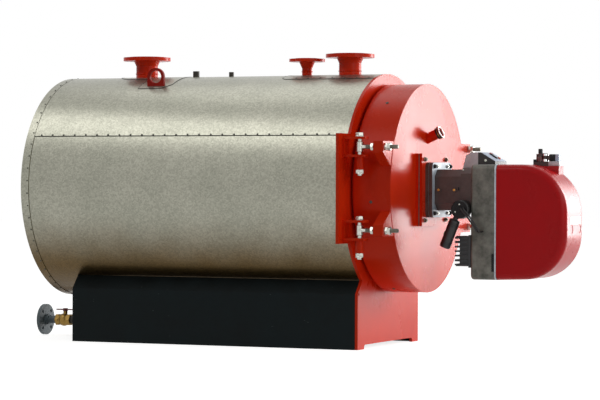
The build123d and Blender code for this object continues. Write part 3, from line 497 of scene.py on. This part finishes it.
ownFinishes = {
    "burner_flange": frontFaced(finishOf("castFlange", patch=50, tones=("#43332f", "#5a4b45"),
        gloss=(0.4, 0.55), grain=4, depth=0.16), "#b9c4cf"),
    "burner_hood": stickerOn(finishes["hood_plastic"], {
        "face": 1003, "behind": 3, "middle": (18, 647), "size": (168, 37), "tone": "#f2f3f5"}),
    "gas_fittings": lowerPart(finishOf("darkBrownCasting", patch=20, tones=("#2c1b18", "#45302a"),
        gloss=(0.4, 0.55), grain=4, depth=0.12), "#b3121a", 917),
    "valve_handle": finishOf("darkRedDippedSteel", patch=20, tones=("#5a0f0c", "#6e1612"),
        gloss=(0.35, 0.45), grain=4, depth=0.05),
    "control_bracket": finishOf("paleGreySheet", patch=40, tones=("#ccd4da", "#e6ecf0"),
        gloss=(0.3, 0.4), grain=3, depth=0.05),
}

for part in frame["record"]["subparts"]:
    finish = ownFinishes.get(part["node"], finishes[part["material_slot"]])
    for place in frame["nodes"][part["node"]].material_slots:
        place.material = finish
print("finishes on the frame")

# pitches and lengths run along the boiler in mm, from the front plate to the rear
rivetLook = {"radius": 5.2, "height": 2.2, "corners": 10, "rings": 8, "pitch": 64.8, "first": 36,
             "above": 0.55}
rimLook = {"screw": 4.2, "pitch": 64, "fromEnd": 36}
patchLook = {"pitch": 67, "inset": 12, "length": 520, "halfAngle": 17, "lift": 1.6}


def domeHead(radius, height):
    # low dome of a blind rivet, flat side down
    clearSelection()
    bpy.ops.mesh.primitive_uv_sphere_add(
        segments=rivetLook["corners"], ring_count=rivetLook["rings"], radius=radius * mm)
    dome = bpy.context.object
    startEdit()
    bpy.ops.mesh.bisect(plane_co=(0, 0, 0), plane_no=(0, 0, 1), clear_inner=True, use_fill=True)
    bpy.ops.mesh.select_all(action="SELECT")
    bpy.ops.transform.resize(value=(1, 1, height / radius))
    endEdit()
    return dome


def claddingFasteners():
    seam = seamAngle + rivetLook["above"]
    count = int((frontX - capHigh.x) / (rivetLook["pitch"] * mm))
    rivets = []
    for angle in (seam, 180 - seam):
        for i in range(count):
            rivets.append(onShell(frontX - (rivetLook["first"] + i * rivetLook["pitch"]) * mm, angle))
    edge = patchLook["halfAngle"] - degrees(patchLook["inset"] * mm / claddingRadius)
    raised = claddingRadius + patchLook["lift"] * mm
    for angle in (90 - edge, 90 + edge):
        for i in range(int(patchLook["length"] / patchLook["pitch"])):
            rivets.append(onShell(frontX - (i + 0.5) * patchLook["pitch"] * mm, angle, raised))
    around = int(2 * pi * claddingRadius / (rimLook["pitch"] * mm))
    rimX = capLow.x + rimLook["fromEnd"] * mm
    screws = [onShell(rimX, 360 * (i + 0.5) / around) for i in range(around)]
    for name, radius, places in (("seam_rivets", rivetLook["radius"], rivets),
                                 ("rim_screws", rimLook["screw"], screws)):
        head = domeHead(radius, rivetLook["height"])
        settle(copiesOf(head, places), name, dullRivet, "root")


# sizes and steps of the dark beads of painted shade along the cladding's laps
seamShadeLook = {"radius": 1.7, "corners": 8, "lift": 0.6, "step": 22, "cornerSteps": 6,
            "front": {"length": 520, "halfAngle": 17, "corner": 40},
            "rear": {"rear": 1500, "front": 1107, "halfAngle": 12.5, "corner": 110, "flapRear": 1286,
                     "flapAngle": 28, "chamfer": 45}}


def cornerPoints(x, y, radius, first):
    # quarter round of an outline in plan, about its own centre, from one angle on
    steps = seamShadeLook["cornerSteps"]
    turns = [radians(first + 90 * i / steps) for i in range(steps + 1)]
    return [(x + radius * cos(turn), y + radius * sin(turn)) for turn in turns]


def roundedRear(front, rear, half, corner):
    # outline of a laid-on patch from its front edge round its two rear corners
    x = corner - rear
    return ([(-front, half), (x, half)] + cornerPoints(x, half - corner, corner, 90)[1:]
            + cornerPoints(x, corner - half, corner, 180))


def sheetLine(points, lift):
    # thin dark bead along an outline that is given in plan and lies on the round cladding: painted shade
    # where a sheet's edge laps the next
    round2 = (claddingRadius / mm + lift) ** 2
    bars = []
    for (x, y), (nextX, nextY) in zip(points, points[1:]):
        reach = ((nextX - x) ** 2 + (nextY - y) ** 2) ** 0.5
        pieces = max(1, round(reach / seamShadeLook["step"])) if abs(nextY - y) > 1 else 1
        for i in range(pieces):
            ends = []
            for part in (i / pieces, (i + 1) / pieces):
                across = y + (nextY - y) * part
                height = axisZ / mm + (round2 - across ** 2) ** 0.5
                ends.append(spot(x + (nextX - x) * part, across, height))
            way = ends[1] - ends[0]
            bars.append(roundBar(
                seamShadeLook["radius"], way.length / mm, ends[0], turnTo(way), seamShadeLook["corners"]))
    return bars


# dark beads of painted shade along the two seams and round the laid-on patches
def seamShadeLines():
    reach, rear = claddingRadius / mm, (capHigh.x - frontX) / mm
    seam = reach * cos(radians(seamAngle))
    bars = []
    for across in (-seam, seam):
        bars += sheetLine([(rear, across), (0, across)], 0)
    look = seamShadeLook["front"]
    half = reach * sin(radians(look["halfAngle"]))
    bars += sheetLine(roundedRear(0, look["length"], half, look["corner"]) + [(0, -half)], seamShadeLook["lift"])
    look = seamShadeLook["rear"]
    half, flap = (reach * sin(radians(look[name])) for name in ("halfAngle", "flapAngle"))
    front, flapRear, chamfer = look["front"], look["flapRear"], look["chamfer"]
    outline = roundedRear(front, look["rear"], half, look["corner"])
    outline += [(-flapRear, -half), (-flapRear, -flap), (-front - chamfer, -flap), (-front, chamfer - flap),
                (-front, half)]
    bars += sheetLine(outline, seamShadeLook["lift"])
    settle(joined(bars), "painted_seam_shade", softBlack, "root")


claddingFasteners()
seamShadeLines()
print("rivets and sealant lines done")

hingeX, hingeY = 95, 592
hingeHeights = [axisZ / mm + 204, axisZ / mm - 204]
# the rod's two ends, and each nut's start and turn, are given along the boiler; a nut is (key width, height)
doorBolts = {"rod": (109.4, 298), "rodRadius": 10.5, "corners": 18, "pitch": 2.5, "threadDepth": 1.0,
             "tip": 1.5, "eyeRadius": 18, "eyeHeight": 50, "bore": 12.1, "chamfer": 1.5, "nut": (34, 15.12),
             "neck": [(13.5, 0), (13.5, 4), (11.5, 14), (10.5, 20), (0, 20)],
             "nuts": ((155.7, 0), (229.3, 0), (244.42, 19))}
pinLook = {"radius": 12, "chamfer": 2, "top": 50.3, "across": 36, "headHeight": 19, "headBore": 0.1,
           "headTurn": 12, "washer": 22, "sleeve": 19, "sleeveEdge": 1, "sleeveGap": 0.2, "sleeveTop": -50.3,
           "sleeveHigh": 61, "nutHeight": 21, "nutWasher": 20.9, "nutTurn": 25, "tip": 10}


def hexNut(across, height, bore, collar=0):
    # nut with its corners turned off at both ends, on its own base; collar is the washer face's radius
    radius = across / 2 / cos(radians(30))
    end, widest, over = across / 2 * 0.94, radius * 1.04, 0.5
    blank = roundBar(radius, height, corners=6)
    pick(blank)
    bpy.ops.object.transform_apply(location=True, rotation=True, scale=True)
    cutter = lathe([(0, -over), (end, -over), (widest, height * 0.2), (widest, height * 0.8),
                    (end, height + over), (0, height + over)], steps=24)
    modify(blank, "BOOLEAN", operation="INTERSECT", solver="EXACT", object=cutter)
    bpy.data.objects.remove(cutter)
    pieces = [blank]
    if collar:
        rim, top = height * 0.1, height * 0.3
        washer = [(bore, 0), (collar, 0), (collar, rim), (across / 2, top), (bore, top)]
        pieces.append(lathe(washer, steps=24))
    return joined(pieces)


def threadedRod(look):
    # one pitch of thread as a ring, repeated by an array, with a chamfered tip
    length, pitch, tip = look["rod"][1] - look["rod"][0], look["pitch"], look["tip"]
    root = look["rodRadius"] - look["threadDepth"]
    turns = int((length - tip) / pitch)
    clearSelection()
    bpy.ops.mesh.primitive_cylinder_add(
        vertices=look["corners"], radius=root * mm, depth=pitch * mm, end_fill_type="NOTHING")
    thread = bpy.context.object
    editEdges(thread, lambda a, b: abs(a.z - b.z) > pitch * mm / 2)
    bpy.ops.mesh.subdivide(number_cuts=1)
    endEdit()
    editEdges(thread, lambda a, b: max(abs(a.z), abs(b.z)) < pitch * mm / 4)
    bpy.ops.transform.resize(value=(look["rodRadius"] / root, look["rodRadius"] / root, 1))
    endEdit()
    thread.location = (0, 0, pitch * mm / 2)
    pick(thread)
    bpy.ops.object.transform_apply(location=True, rotation=False, scale=False)
    modify(thread, "ARRAY", count=turns, use_relative_offset=False, use_constant_offset=True,
           constant_offset_displace=(0, 0, pitch * mm), use_merge_vertices=True)
    cap = lathe([(0, 0), (root, 0), (root, turns * pitch - 0.01), (root - tip / 2, length), (0, length)],
                steps=look["corners"])
    return joined([thread, cap])


def hingePlaces(side, rise=0, x=hingeX, direction=(0, 0, 1), spin=0):
    # the same place at both hinges of a side, with rise counted from the middle of each
    return [(spot(x, sides[side] * hingeY, height + rise), turnTo(direction, spin))
            for height in hingeHeights]


def eyebolts(side):
    look = doorBolts
    half, radius, chamfer, bore = look["eyeHeight"] / 2, look["eyeRadius"], look["chamfer"], look["bore"]
    eye = lathe([(bore, -half), (radius - chamfer, -half), (radius, chamfer - half), (radius, half - chamfer),
                 (radius - chamfer, half), (bore, half), (bore, -half)], steps=40)
    rods = hingePlaces(side, x=look["rod"][0], direction=(1, 0, 0))
    nuts = []
    for x, spin in look["nuts"]:
        nuts += hingePlaces(side, x=x, direction=(1, 0, 0), spin=spin)
    eyes = copiesOf(eye, hingePlaces(side))
    necks = copiesOf(lathe(look["neck"], steps=28), rods)
    for name, piece, finish in (("eyes", joined([eyes, necks]), finishes["zinc_steel"]),
                                ("threaded_rods", copiesOf(threadedRod(look), rods), oiledSteel),
                                ("door_nuts", copiesOf(hexNut(*look["nut"], look["rodRadius"]), nuts),
                                 finishes["zinc_steel"])):
        settle(piece, f"{name}_{side}", finish, "door", f"eyebolts_{side}")


def hingePins(side):
    look = pinLook
    radius, chamfer, across = look["radius"], look["chamfer"], look["across"]
    sleeveLow = look["sleeveTop"] - look["sleeveHigh"]
    nutLow = sleeveLow - look["nutHeight"]
    length = look["top"] - nutLow + look["tip"]
    head = hexNut(across, look["headHeight"], look["headBore"], look["washer"])
    heads = copiesOf(head, hingePlaces(side, look["top"], spin=look["headTurn"]))
    shank = lathe([(0, 0), (radius - chamfer, 0), (radius, chamfer), (radius, length), (0, length)], steps=28)
    shanks = copiesOf(shank, hingePlaces(side, nutLow - look["tip"]))
    nut = hexNut(across, look["nutHeight"], radius, look["nutWasher"])
    nuts = copiesOf(nut, hingePlaces(side, nutLow, spin=look["nutTurn"]))
    settle(joined([heads, shanks, nuts]), f"hinge_pins_{side}", finishes["zinc_steel"], "root",
           f"bracket_pins_{side}")
    bore, outer = radius + look["sleeveGap"], look["sleeve"]
    edge, high = look["sleeveEdge"], look["sleeveHigh"]
    sleeve = lathe([(bore, 0), (outer - edge, 0), (outer, edge), (outer, high - edge), (outer - edge, high),
                    (bore, high), (bore, 0)], steps=40)
    sleeves = copiesOf(sleeve, hingePlaces(side, sleeveLow))
    settle(sleeves, f"pin_sleeves_{side}", finishes["red_paint"], "root", f"bracket_pins_{side}")


for side in sides:
    eyebolts(side)
    hingePins(side)
print("hinge sets done")

# the bead on each nozzle's pipe, given by the pipe's radius
weldLook = {"bead": 6.5, "aboveCladding": 20,
            "pipes": {"supply_nozzle": 57.2, "return_nozzle": 57.2, "safety_nozzle": 26}}
# screws by place along the boiler and angle; the rolled edge by radius, bead, place and steps
drumLook = {"radius": 528, "screws": ((128, 53.5), (127, -7.2), (103, -73)), "head": 7.5, "height": 3,
            "edge": (527, 2.6, 230, 160)}


def nozzleWelds():
    height = axisZ + claddingRadius + weldLook["aboveCladding"] * mm
    rings = []
    for name, pipe in weldLook["pipes"].items():
        low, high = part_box(name)
        rings.append(beadRing(pipe, weldLook["bead"], Vector(((low.x + high.x) / 2, 0, height))))
    settle(joined(rings), "nozzle_welds", finishes["red_paint"], "root")


def drumDetails():
    look = drumLook
    places = [onShell(frontX + x * mm, turned, look["radius"] * mm)
              for x, angle in look["screws"] for turned in (angle, 180 - angle)]
    head = screwHead(look["head"], look["height"])
    settle(copiesOf(head, places), "drum_screws", dullRivet, "door")
    radius, bead, x, steps = look["edge"]
    edge = beadRing(radius, bead, spot(x, 0, axisZ / mm), turnTo((1, 0, 0)), steps)
    settle(edge, "drum_edge", finishes["red_paint"], "door")


nozzleWelds()
drumDetails()
print("nozzle welds and drum screws done")

burnerZ = (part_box("burner_flange")[0].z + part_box("burner_flange")[1].z) / 2 / mm
# each set of bolts: face it sits on, half its width and height apart, key width, height of the nut
boltLook = {"mount": (265.3, 147, 153, 19, 12), "flange": (302.3, 112, 118, 18, 11),
            "ledge": (302.3, 72, 118, 14, 9), "turn": 10, "stud": 0.3, "studTip": 0.24, "collar": 0.62,
            "studOut": 4, "chamfer": 2}
neckLook = {"side": 103, "boss": 110, "screws": (324, 408), "screwRadius": 6.5, "screwHeight": 4,
            "latch": (430, 802), "latchSize": (6, 4, 16), "capScrew": (451, 95, 895), "capRadius": 5}


def burnerBolts():
    look = boltLook
    for name, finish, slot in (("mount", oiledSteel, "zinc_steel"), ("flange", softBlack, "black_steel"),
                               ("ledge", finishes["zinc_steel"], "zinc_steel")):
        x, half, rise, across, height = look[name]
        stud, tip, end = across * look["stud"], across * look["studTip"], height + look["studOut"]
        nut = hexNut(across, height, stud, across * look["collar"])
        rod = lathe([(0, 0), (stud, 0), (stud, end - look["chamfer"]), (tip, end), (0, end)], steps=16)
        corners = [(spot(x, y, burnerZ + up), turnTo((1, 0, 0), look["turn"]))
                   for y in (-half, half) for up in (-rise, rise)]
        settle(copiesOf(joined([nut, rod]), corners), f"{name}_bolts", finish, "door")


def neckScrews():
    look = neckLook
    brass, latches, caps = [], [], []
    for way in sides.values():
        outward = turnTo((0, way, 0))
        brass += [(spot(x, way * look["boss"], burnerZ), outward) for x in look["screws"]]
        x, z = look["latch"]
        latches.append((spot(x, way * (look["side"] + look["latchSize"][1] / 2), z), Matrix()))
        x, y, z = look["capScrew"]
        caps.append((spot(x, way * y, z), turnTo((0, way, 1))))
    head = screwHead(look["screwRadius"], look["screwHeight"])
    settle(copiesOf(head, brass), "neck_screws", brassScrew, "door")
    latch = slab(look["latchSize"])
    softenEdges(latch, width=1)
    settle(copiesOf(latch, latches), "neck_latches", softBlack, "door")
    cap = screwHead(look["capRadius"], look["screwHeight"])
    settle(copiesOf(cap, caps), "ring_screws", finishes["zinc_steel"], "door")


burnerBolts()
neckScrews()
print("burner flange and neck done")

# outlines of the sight tube's rings by radius and height along the tilted tube
sightLook = {"x": 231, "y": -18, "z": 1056, "tilt": 66,
             "gasket": [(25, 58), (30, 58), (30, 66.8), (25, 66.8), (25, 58)],
             "collar": [(25.6, 67), (30.5, 67), (30.5, 69.4), (25.6, 69.4), (25.6, 67)],
             "ring": [(25.6, 69.6), (31, 69.6), (31.8, 70.6), (31.8, 76.5), (25.6, 76.5), (25.6, 69.6)],
             "rim": [(24, 76.6), (32, 76.8), (32.4, 80.2), (31, 81.4), (27, 81.4), (25, 79.5), (24, 79),
                     (24, 76.6)]}
seatLook = {"size": (8, 290.8, 574.8), "x": 637.6, "z": 637, "corner": 26, "steps": 6}
intakeLook = {"x": (618, 642), "low": 391, "high": 480, "depth": 25, "setBack": 5, "gap": 0.3, "fin": 3,
              "finDepth": 6, "finMiddle": 3.4, "pitch": 11}
motorLook = {"fin": 8.5, "finReach": 24, "count": 7, "rib": 3.5, "ribGap": 0.2, "ribEnd": 16, "above": 15,
             "narrower": 8}


def sightTubeRings():
    look = sightLook
    place = spot(look["x"], look["y"], look["z"])
    turn = turnTo((sin(radians(look["tilt"])), 0, cos(radians(look["tilt"]))))
    for name, finish, slot in (("gasket", softBlack, "grey_gasket"), ("collar", brassScrew, "valve_brass"),
                               ("ring", softBlack, "grey_gasket"), ("rim", brightChrome, "zinc_steel")):
        settle(lathe(look[name], place, turn), f"sight_{name}", finish, "door")


def hoodSeat():
    # pale strip that the hood closes on, with its four corners rounded
    look = seatLook
    seat = slab(look["size"], spot(look["x"], 0, look["z"]))
    weight = seat.data.attributes.new("bevel_weight_edge", "FLOAT", "EDGE")
    for edge in seat.data.edges:
        first, second = (seat.data.vertices[i].co for i in edge.vertices)
        weight.data[edge.index].value = float(abs(first.x - second.x) > look["size"][0] * mm / 2)
    modify(seat, "BEVEL", width=look["corner"] * mm, segments=look["steps"], limit_method="WEIGHT")
    settle(seat, "hood_seat", machinedFace, "door")


def airIntake():
    look = intakeLook
    rear, front = look["x"][0] + look["gap"], look["x"][1] - look["gap"]
    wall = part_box("burner_body")[0].y / mm
    outer, inner = wall + look["setBack"], wall + look["depth"] - look["gap"]
    height = look["high"] - look["low"]
    lining = slab((front - rear, inner - outer, height - 2 * look["gap"]),
                  spot((front + rear) / 2, (inner + outer) / 2, (look["low"] + look["high"]) / 2))
    softenEdges(lining, width=0.6)
    fin = slab((front - rear, look["finDepth"], look["fin"]))
    softenEdges(fin, width=0.8)
    places = [(spot((front + rear) / 2, wall + look["finMiddle"], look["low"] + (i + 0.5) * look["pitch"]),
               Matrix()) for i in range(int(height / look["pitch"]))]
    settle(joined([lining, copiesOf(fin, places)]), "air_intake", softBlack, "door")


def motorFins():
    # broad cooling fins at the motor's rear and the ribs that carry on along its near side
    look = motorLook
    low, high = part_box("burner_motor")
    pitch = (high.z - low.z - 2 * look["above"] * mm) / (look["count"] - 1)
    reach = (high.y - low.y) / mm - look["narrower"]
    length = (high.x - low.x) / mm - look["finReach"] - look["ribEnd"]
    finX, finY = low.x + look["finReach"] / 2 * mm, (low.y + high.y) / 2
    ribX = low.x + (look["finReach"] + length / 2) * mm
    ribY = low.y + (look["rib"] / 2 + look["ribGap"]) * mm
    bars = []
    for i in range(look["count"]):
        level = low.z + look["above"] * mm + i * pitch
        fin = slab((look["finReach"], reach, look["fin"]), (finX, finY, level))
        softenEdges(fin, width=1.5)
        rib = slab((length, look["rib"], look["fin"]), (ribX, ribY, level))
        softenEdges(rib, width=1)
        bars += [fin, rib]
    settle(joined(bars), "motor_fins", finishes["black_motor"], "door")


sightTubeRings()
hoodSeat()
airIntake()
motorFins()
print("sight tube, hood, intake and motor fins done")

# the panel slopes from top to foot (along the boiler, height); what sits on it goes by (down, across)
panelLook = {"top": (519, 985), "foot": (598, 939), "near": -32, "far": 138, "plate": 2.0, "inset": 1.5,
             "buttons": ((20, 74), (63, 92)), "button": [(0, 0), (9.5, 0), (9.5, 3.6), (7.6, 6), (0, 6.6)],
             "switches": ((28, 64), (46, 58), (60, 54)), "switch": (15, 20, 6), "screw": (547, 944),
             "screwSize": (7, 3), "sheetEdge": ((428, 908.4), (444, 968), (474, 984.9)), "sheetFar": 8,
             "sheetThick": 3}


def controlPanel():
    look = panelLook
    (topX, topZ), (footX, footZ) = look["top"], look["foot"]
    run, fall = footX - topX, topZ - footZ
    length = (run ** 2 + fall ** 2) ** 0.5
    along, out = Vector((run / length, 0, -fall / length)), Vector((fall / length, 0, run / length))
    turn, plate, near = turnTo(out), look["plate"], look["near"]
    middle = (near + look["far"]) / 2

    def onSlope(down, across, up):
        return spot(topX, across, topZ) + along * down * mm + out * up * mm

    face = slab((length - 2 * look["inset"], look["far"] - near - 2 * look["inset"], plate),
                onSlope(length / 2, middle, plate / 2), turn)
    softenEdges(face, width=0.8)
    settle(face, "panel_face", panelLacquer, "door")
    for name, finish, (down, across) in zip(("stop_button", "lamp_button"), (buttonRed, buttonOrange),
                                            look["buttons"]):
        button = lathe(look["button"], onSlope(down, across, plate), turn, steps=28)
        settle(button, name, finish, "door")
    rocker = slab(look["switch"])
    softenEdges(rocker, width=1.5, segments=3)
    places = [(onSlope(down, across, plate + look["switch"][2] / 2), turn)
              for down, across in look["switches"]]
    settle(copiesOf(rocker, places), "panel_switches", softBlack, "door")
    x, z = look["screw"]
    head = copiesOf(screwHead(*look["screwSize"]), [(spot(x, near, z), turnTo((0, -1, 0)))])
    settle(head, "panel_screw", finishes["zinc_steel"], "door")
    strips = []
    for (x, z), (nextX, nextZ) in zip(look["sheetEdge"], look["sheetEdge"][1:]):
        way = Vector((nextX - x, 0, nextZ - z))
        strip = slab((look["sheetThick"], look["sheetFar"] - near, way.length),
                     spot((x + nextX) / 2, (near + look["sheetFar"]) / 2, (z + nextZ) / 2), turnTo(way))
        softenEdges(strip, width=0.8)
        strips.append(strip)
    settle(joined(strips), "bracket_edge", finishes["grey_casting"], "door")


controlPanel()
print("control panel done")

# turned pieces: place along the boiler and outline; boxes: rear, front, low, high and half their width
fittingLook = {
    "y": 75, "deck": 937,
    "turned": {
        "gas_regulator": (regulatorEnamel, 796, [
            (0, 0), (15, 0), (17.6, 3), (17.6, 26), (15.5, 29), (15.5, 36), (17.6, 38), (17.6, 40.6),
            (0, 40.6)]),
        "regulator_knob": (softBlack, 800, [
            (0, 40.6), (9.5, 40.6), (9.5, 44), (11.2, 45), (11.2, 63), (9.4, 66.4), (0, 66.4)]),
        "pressure_can": (brightChrome, 826, [
            (0, 0), (12, 0), (15.6, 3), (15.6, 14), (14, 16), (14, 30), (15.6, 32), (15.6, 41), (12, 44.6),
            (0, 44.6)])},
    "boxes": {
        "switch_block": (softBlack, 853, 882, 942, 976.5, 15.6),
        "switch_cap": (panelLacquer, 882, 900.5, 941, 976.6, 15.6),
        "switch_base": (finishes["light_sheet"], 852.4, 908.5, 918, 940.6, 35.5),
        "fittings_foot": (softBlack, 765.6, 782.4, 924.6, 950.5, 12.4)}}


def gasFittings():
    look = fittingLook
    for name, (finish, x, outline) in look["turned"].items():
        settle(lathe(outline, spot(x, look["y"], look["deck"])), name, finish, "door")
    for name, (finish, rear, front, low, high, half) in look["boxes"].items():
        middle = spot((front + rear) / 2, look["y"], (low + high) / 2)
        box = slab((front - rear, 2 * half, high - low), middle)
        softenEdges(box, width=1.5)
        settle(box, name, finish, "door")


driveLook = {"x": 459, "y": -170.6, "z": 700, "screwCircle": 25, "screwAngles": (90, 210, 330),
             "screwProud": 1.5, "screwSize": (4, 2.5),
             "cap": [(0, 3), (9, 3), (11, 5), (15, 5), (17, 1.5), (33, 1.5), (35, 3.5), (41, 3.5), (43, 0),
                     (0, 0)]}
plugLook = {"x": 398, "y": -141.3, "z": 578, "tilt": 22, "radius": 27, "ribs": (58, 50, 42, -44, -52, -60),
            "rib": 3, "mark": (8, 15, 20), "markUp": -6, "markIn": 2, "markAngle": 195}


def damperDrive():
    look = driveLook
    x, y, z = look["x"], look["y"], look["z"]
    outward = turnTo((0, -1, 0))
    settle(lathe(look["cap"], spot(x, y, z), outward), "drive_cap", softBlack, "door")
    places = [(spot(x + look["screwCircle"] * cos(radians(angle)), y - look["screwProud"],
                    z + look["screwCircle"] * sin(radians(angle))), outward) for angle in look["screwAngles"]]
    screws = copiesOf(screwHead(*look["screwSize"]), places)
    settle(screws, "drive_screws", finishes["zinc_steel"], "door")
    look = plugLook
    lean = turnTo((sin(radians(look["tilt"])), 0, cos(radians(look["tilt"]))))
    centre = spot(look["x"], look["y"], look["z"])
    ribs = [beadRing(look["radius"], look["rib"], centre + lean @ Vector((0, 0, up * mm)), lean)
            for up in look["ribs"]]
    settle(joined(ribs), "plug_ribs", softBlack, "door")
    turn = lean @ Matrix.Rotation(radians(look["markAngle"]), 4, "Z")
    place = centre + turn @ Vector(((look["radius"] - look["markIn"]) * mm, 0, look["markUp"] * mm))
    mark = slab(look["mark"], place, turn)
    softenEdges(mark, width=1.5)
    settle(mark, "plug_mark", greenMark, "door")


gasFittings()
damperDrive()
print("fittings and damper drive done")

# power in watts, size across and up in metres, place; the face lamp stands where the door's end mirrors it
studio = {"lamps": {
              "keySoftbox": (62, 3.0, 3.0, (5.6, -0.4, 3.4)),
              "faceSoftbox": (480, 3.0, 4.2, (4.4, 6.4, 2.3)),
              "stripOverhead": (58, 5.0, 1.6, (-1.8, -2.45, 4.25)),
              "topSoftbox": (26, 4.0, 2.0, (-0.6, 1.4, 4.6)),
              "frontSoftbox": (32, 3.0, 2.4, (6.5, -4.0, 2.0))},
          "sky": 0.05, "floor": "#d8d8d6", "floorSize": 60, "floorRoughness": 0.9, "floorGlow": 0.82,
          "fade": (2.0, 6.5)}
# where the photograph was taken from, in mm and degrees, and its lens on a 36 mm frame
view = {"x": 4878, "y": -12227, "z": 856, "yaw": 23.67, "pitch": -0.5, "roll": 0.18, "lens": 154.6,
        "frame": 36, "farthest": 200}


def softLamp(name, power, width, height, place, aim):
    lamp = bpy.data.lights.new(name, "AREA")
    lamp.energy = power
    lamp.shape = "RECTANGLE"
    lamp.size = width
    lamp.size_y = height
    holder = bpy.data.objects.new(name, lamp)
    bpy.context.collection.objects.link(holder)
    holder.location = place
    holder.rotation_euler = (Vector(aim) - Vector(place)).to_track_quat("-Z", "Y").to_euler()


def whiteRays(tree):
    # 1 for what the camera sees directly, in a mirror or through glass
    seen = addNode(tree, "LightPath")
    share = 0.0
    for kind in ("Is Camera Ray", "Is Glossy Ray", "Is Transmission Ray"):
        share = addNode(tree, "Math", {0: share, 1: seen.outputs[kind]}, operation="MAXIMUM").outputs["Value"]
    return share


def lightStudio():
    for name, (power, width, height, place) in studio["lamps"].items():
        softLamp(name, power, width, height, place, (0, 0, axisZ))
    world = bpy.data.worlds.new("studioSky")
    bpy.context.scene.world = world
    world.use_nodes = True
    tree = world.node_tree
    level = addNode(tree, "MapRange", {"Value": whiteRays(tree), "To Min": studio["sky"], "To Max": 1.0})
    feed(tree.nodes["Background"], {"Color": white, "Strength": level.outputs["Result"]})
    clearSelection()
    bpy.ops.mesh.primitive_plane_add(size=studio["floorSize"], location=(0, 0, 0))
    floor = bpy.context.object
    floor.name = "studio_floor"
    paint = bpy.data.materials.new("paleFloor")
    paint.use_nodes = True
    tree = paint.node_tree
    place = addNode(tree, "TexCoord").outputs["Object"]
    distance = addNode(tree, "VectorMath", {0: place}, operation="LENGTH")
    fade = addNode(tree, "MapRange", {
        "Value": distance.outputs["Value"], "From Min": studio["fade"][0], "From Max": studio["fade"][1],
        "To Min": studio["floorGlow"], "To Max": 1.0}, interpolation_type="SMOOTHSTEP")
    glow = addNode(tree, "Math", {0: whiteRays(tree), 1: fade.outputs["Result"]}, operation="MULTIPLY")
    feed(shaderOf(paint), {
        "Base Color": toLinear(studio["floor"]), "Roughness": studio["floorRoughness"],
        "Specular IOR Level": 0.0, "Emission Color": white, "Emission Strength": glow.outputs["Value"]})
    floor.data.materials.append(paint)


def setCamera():
    camera = bpy.data.cameras.new("photoView")
    camera.lens = view["lens"]
    camera.sensor_width = view["frame"]
    camera.clip_end = view["farthest"]
    holder = bpy.data.objects.new("photoView", camera)
    bpy.context.collection.objects.link(holder)
    turn = Euler((radians(90 + view["pitch"]), 0, radians(view["yaw"]))).to_matrix().to_4x4()
    turn = turn @ Matrix.Rotation(radians(view["roll"]), 4, "Z")
    holder.matrix_world = Matrix.Translation(spot(view["x"], view["y"], view["z"])) @ turn
    bpy.context.scene.camera = holder


lightStudio()
setCamera()
bpy.context.scene.view_settings.view_transform = "Standard"
clearSelection()
print("studio and camera set")
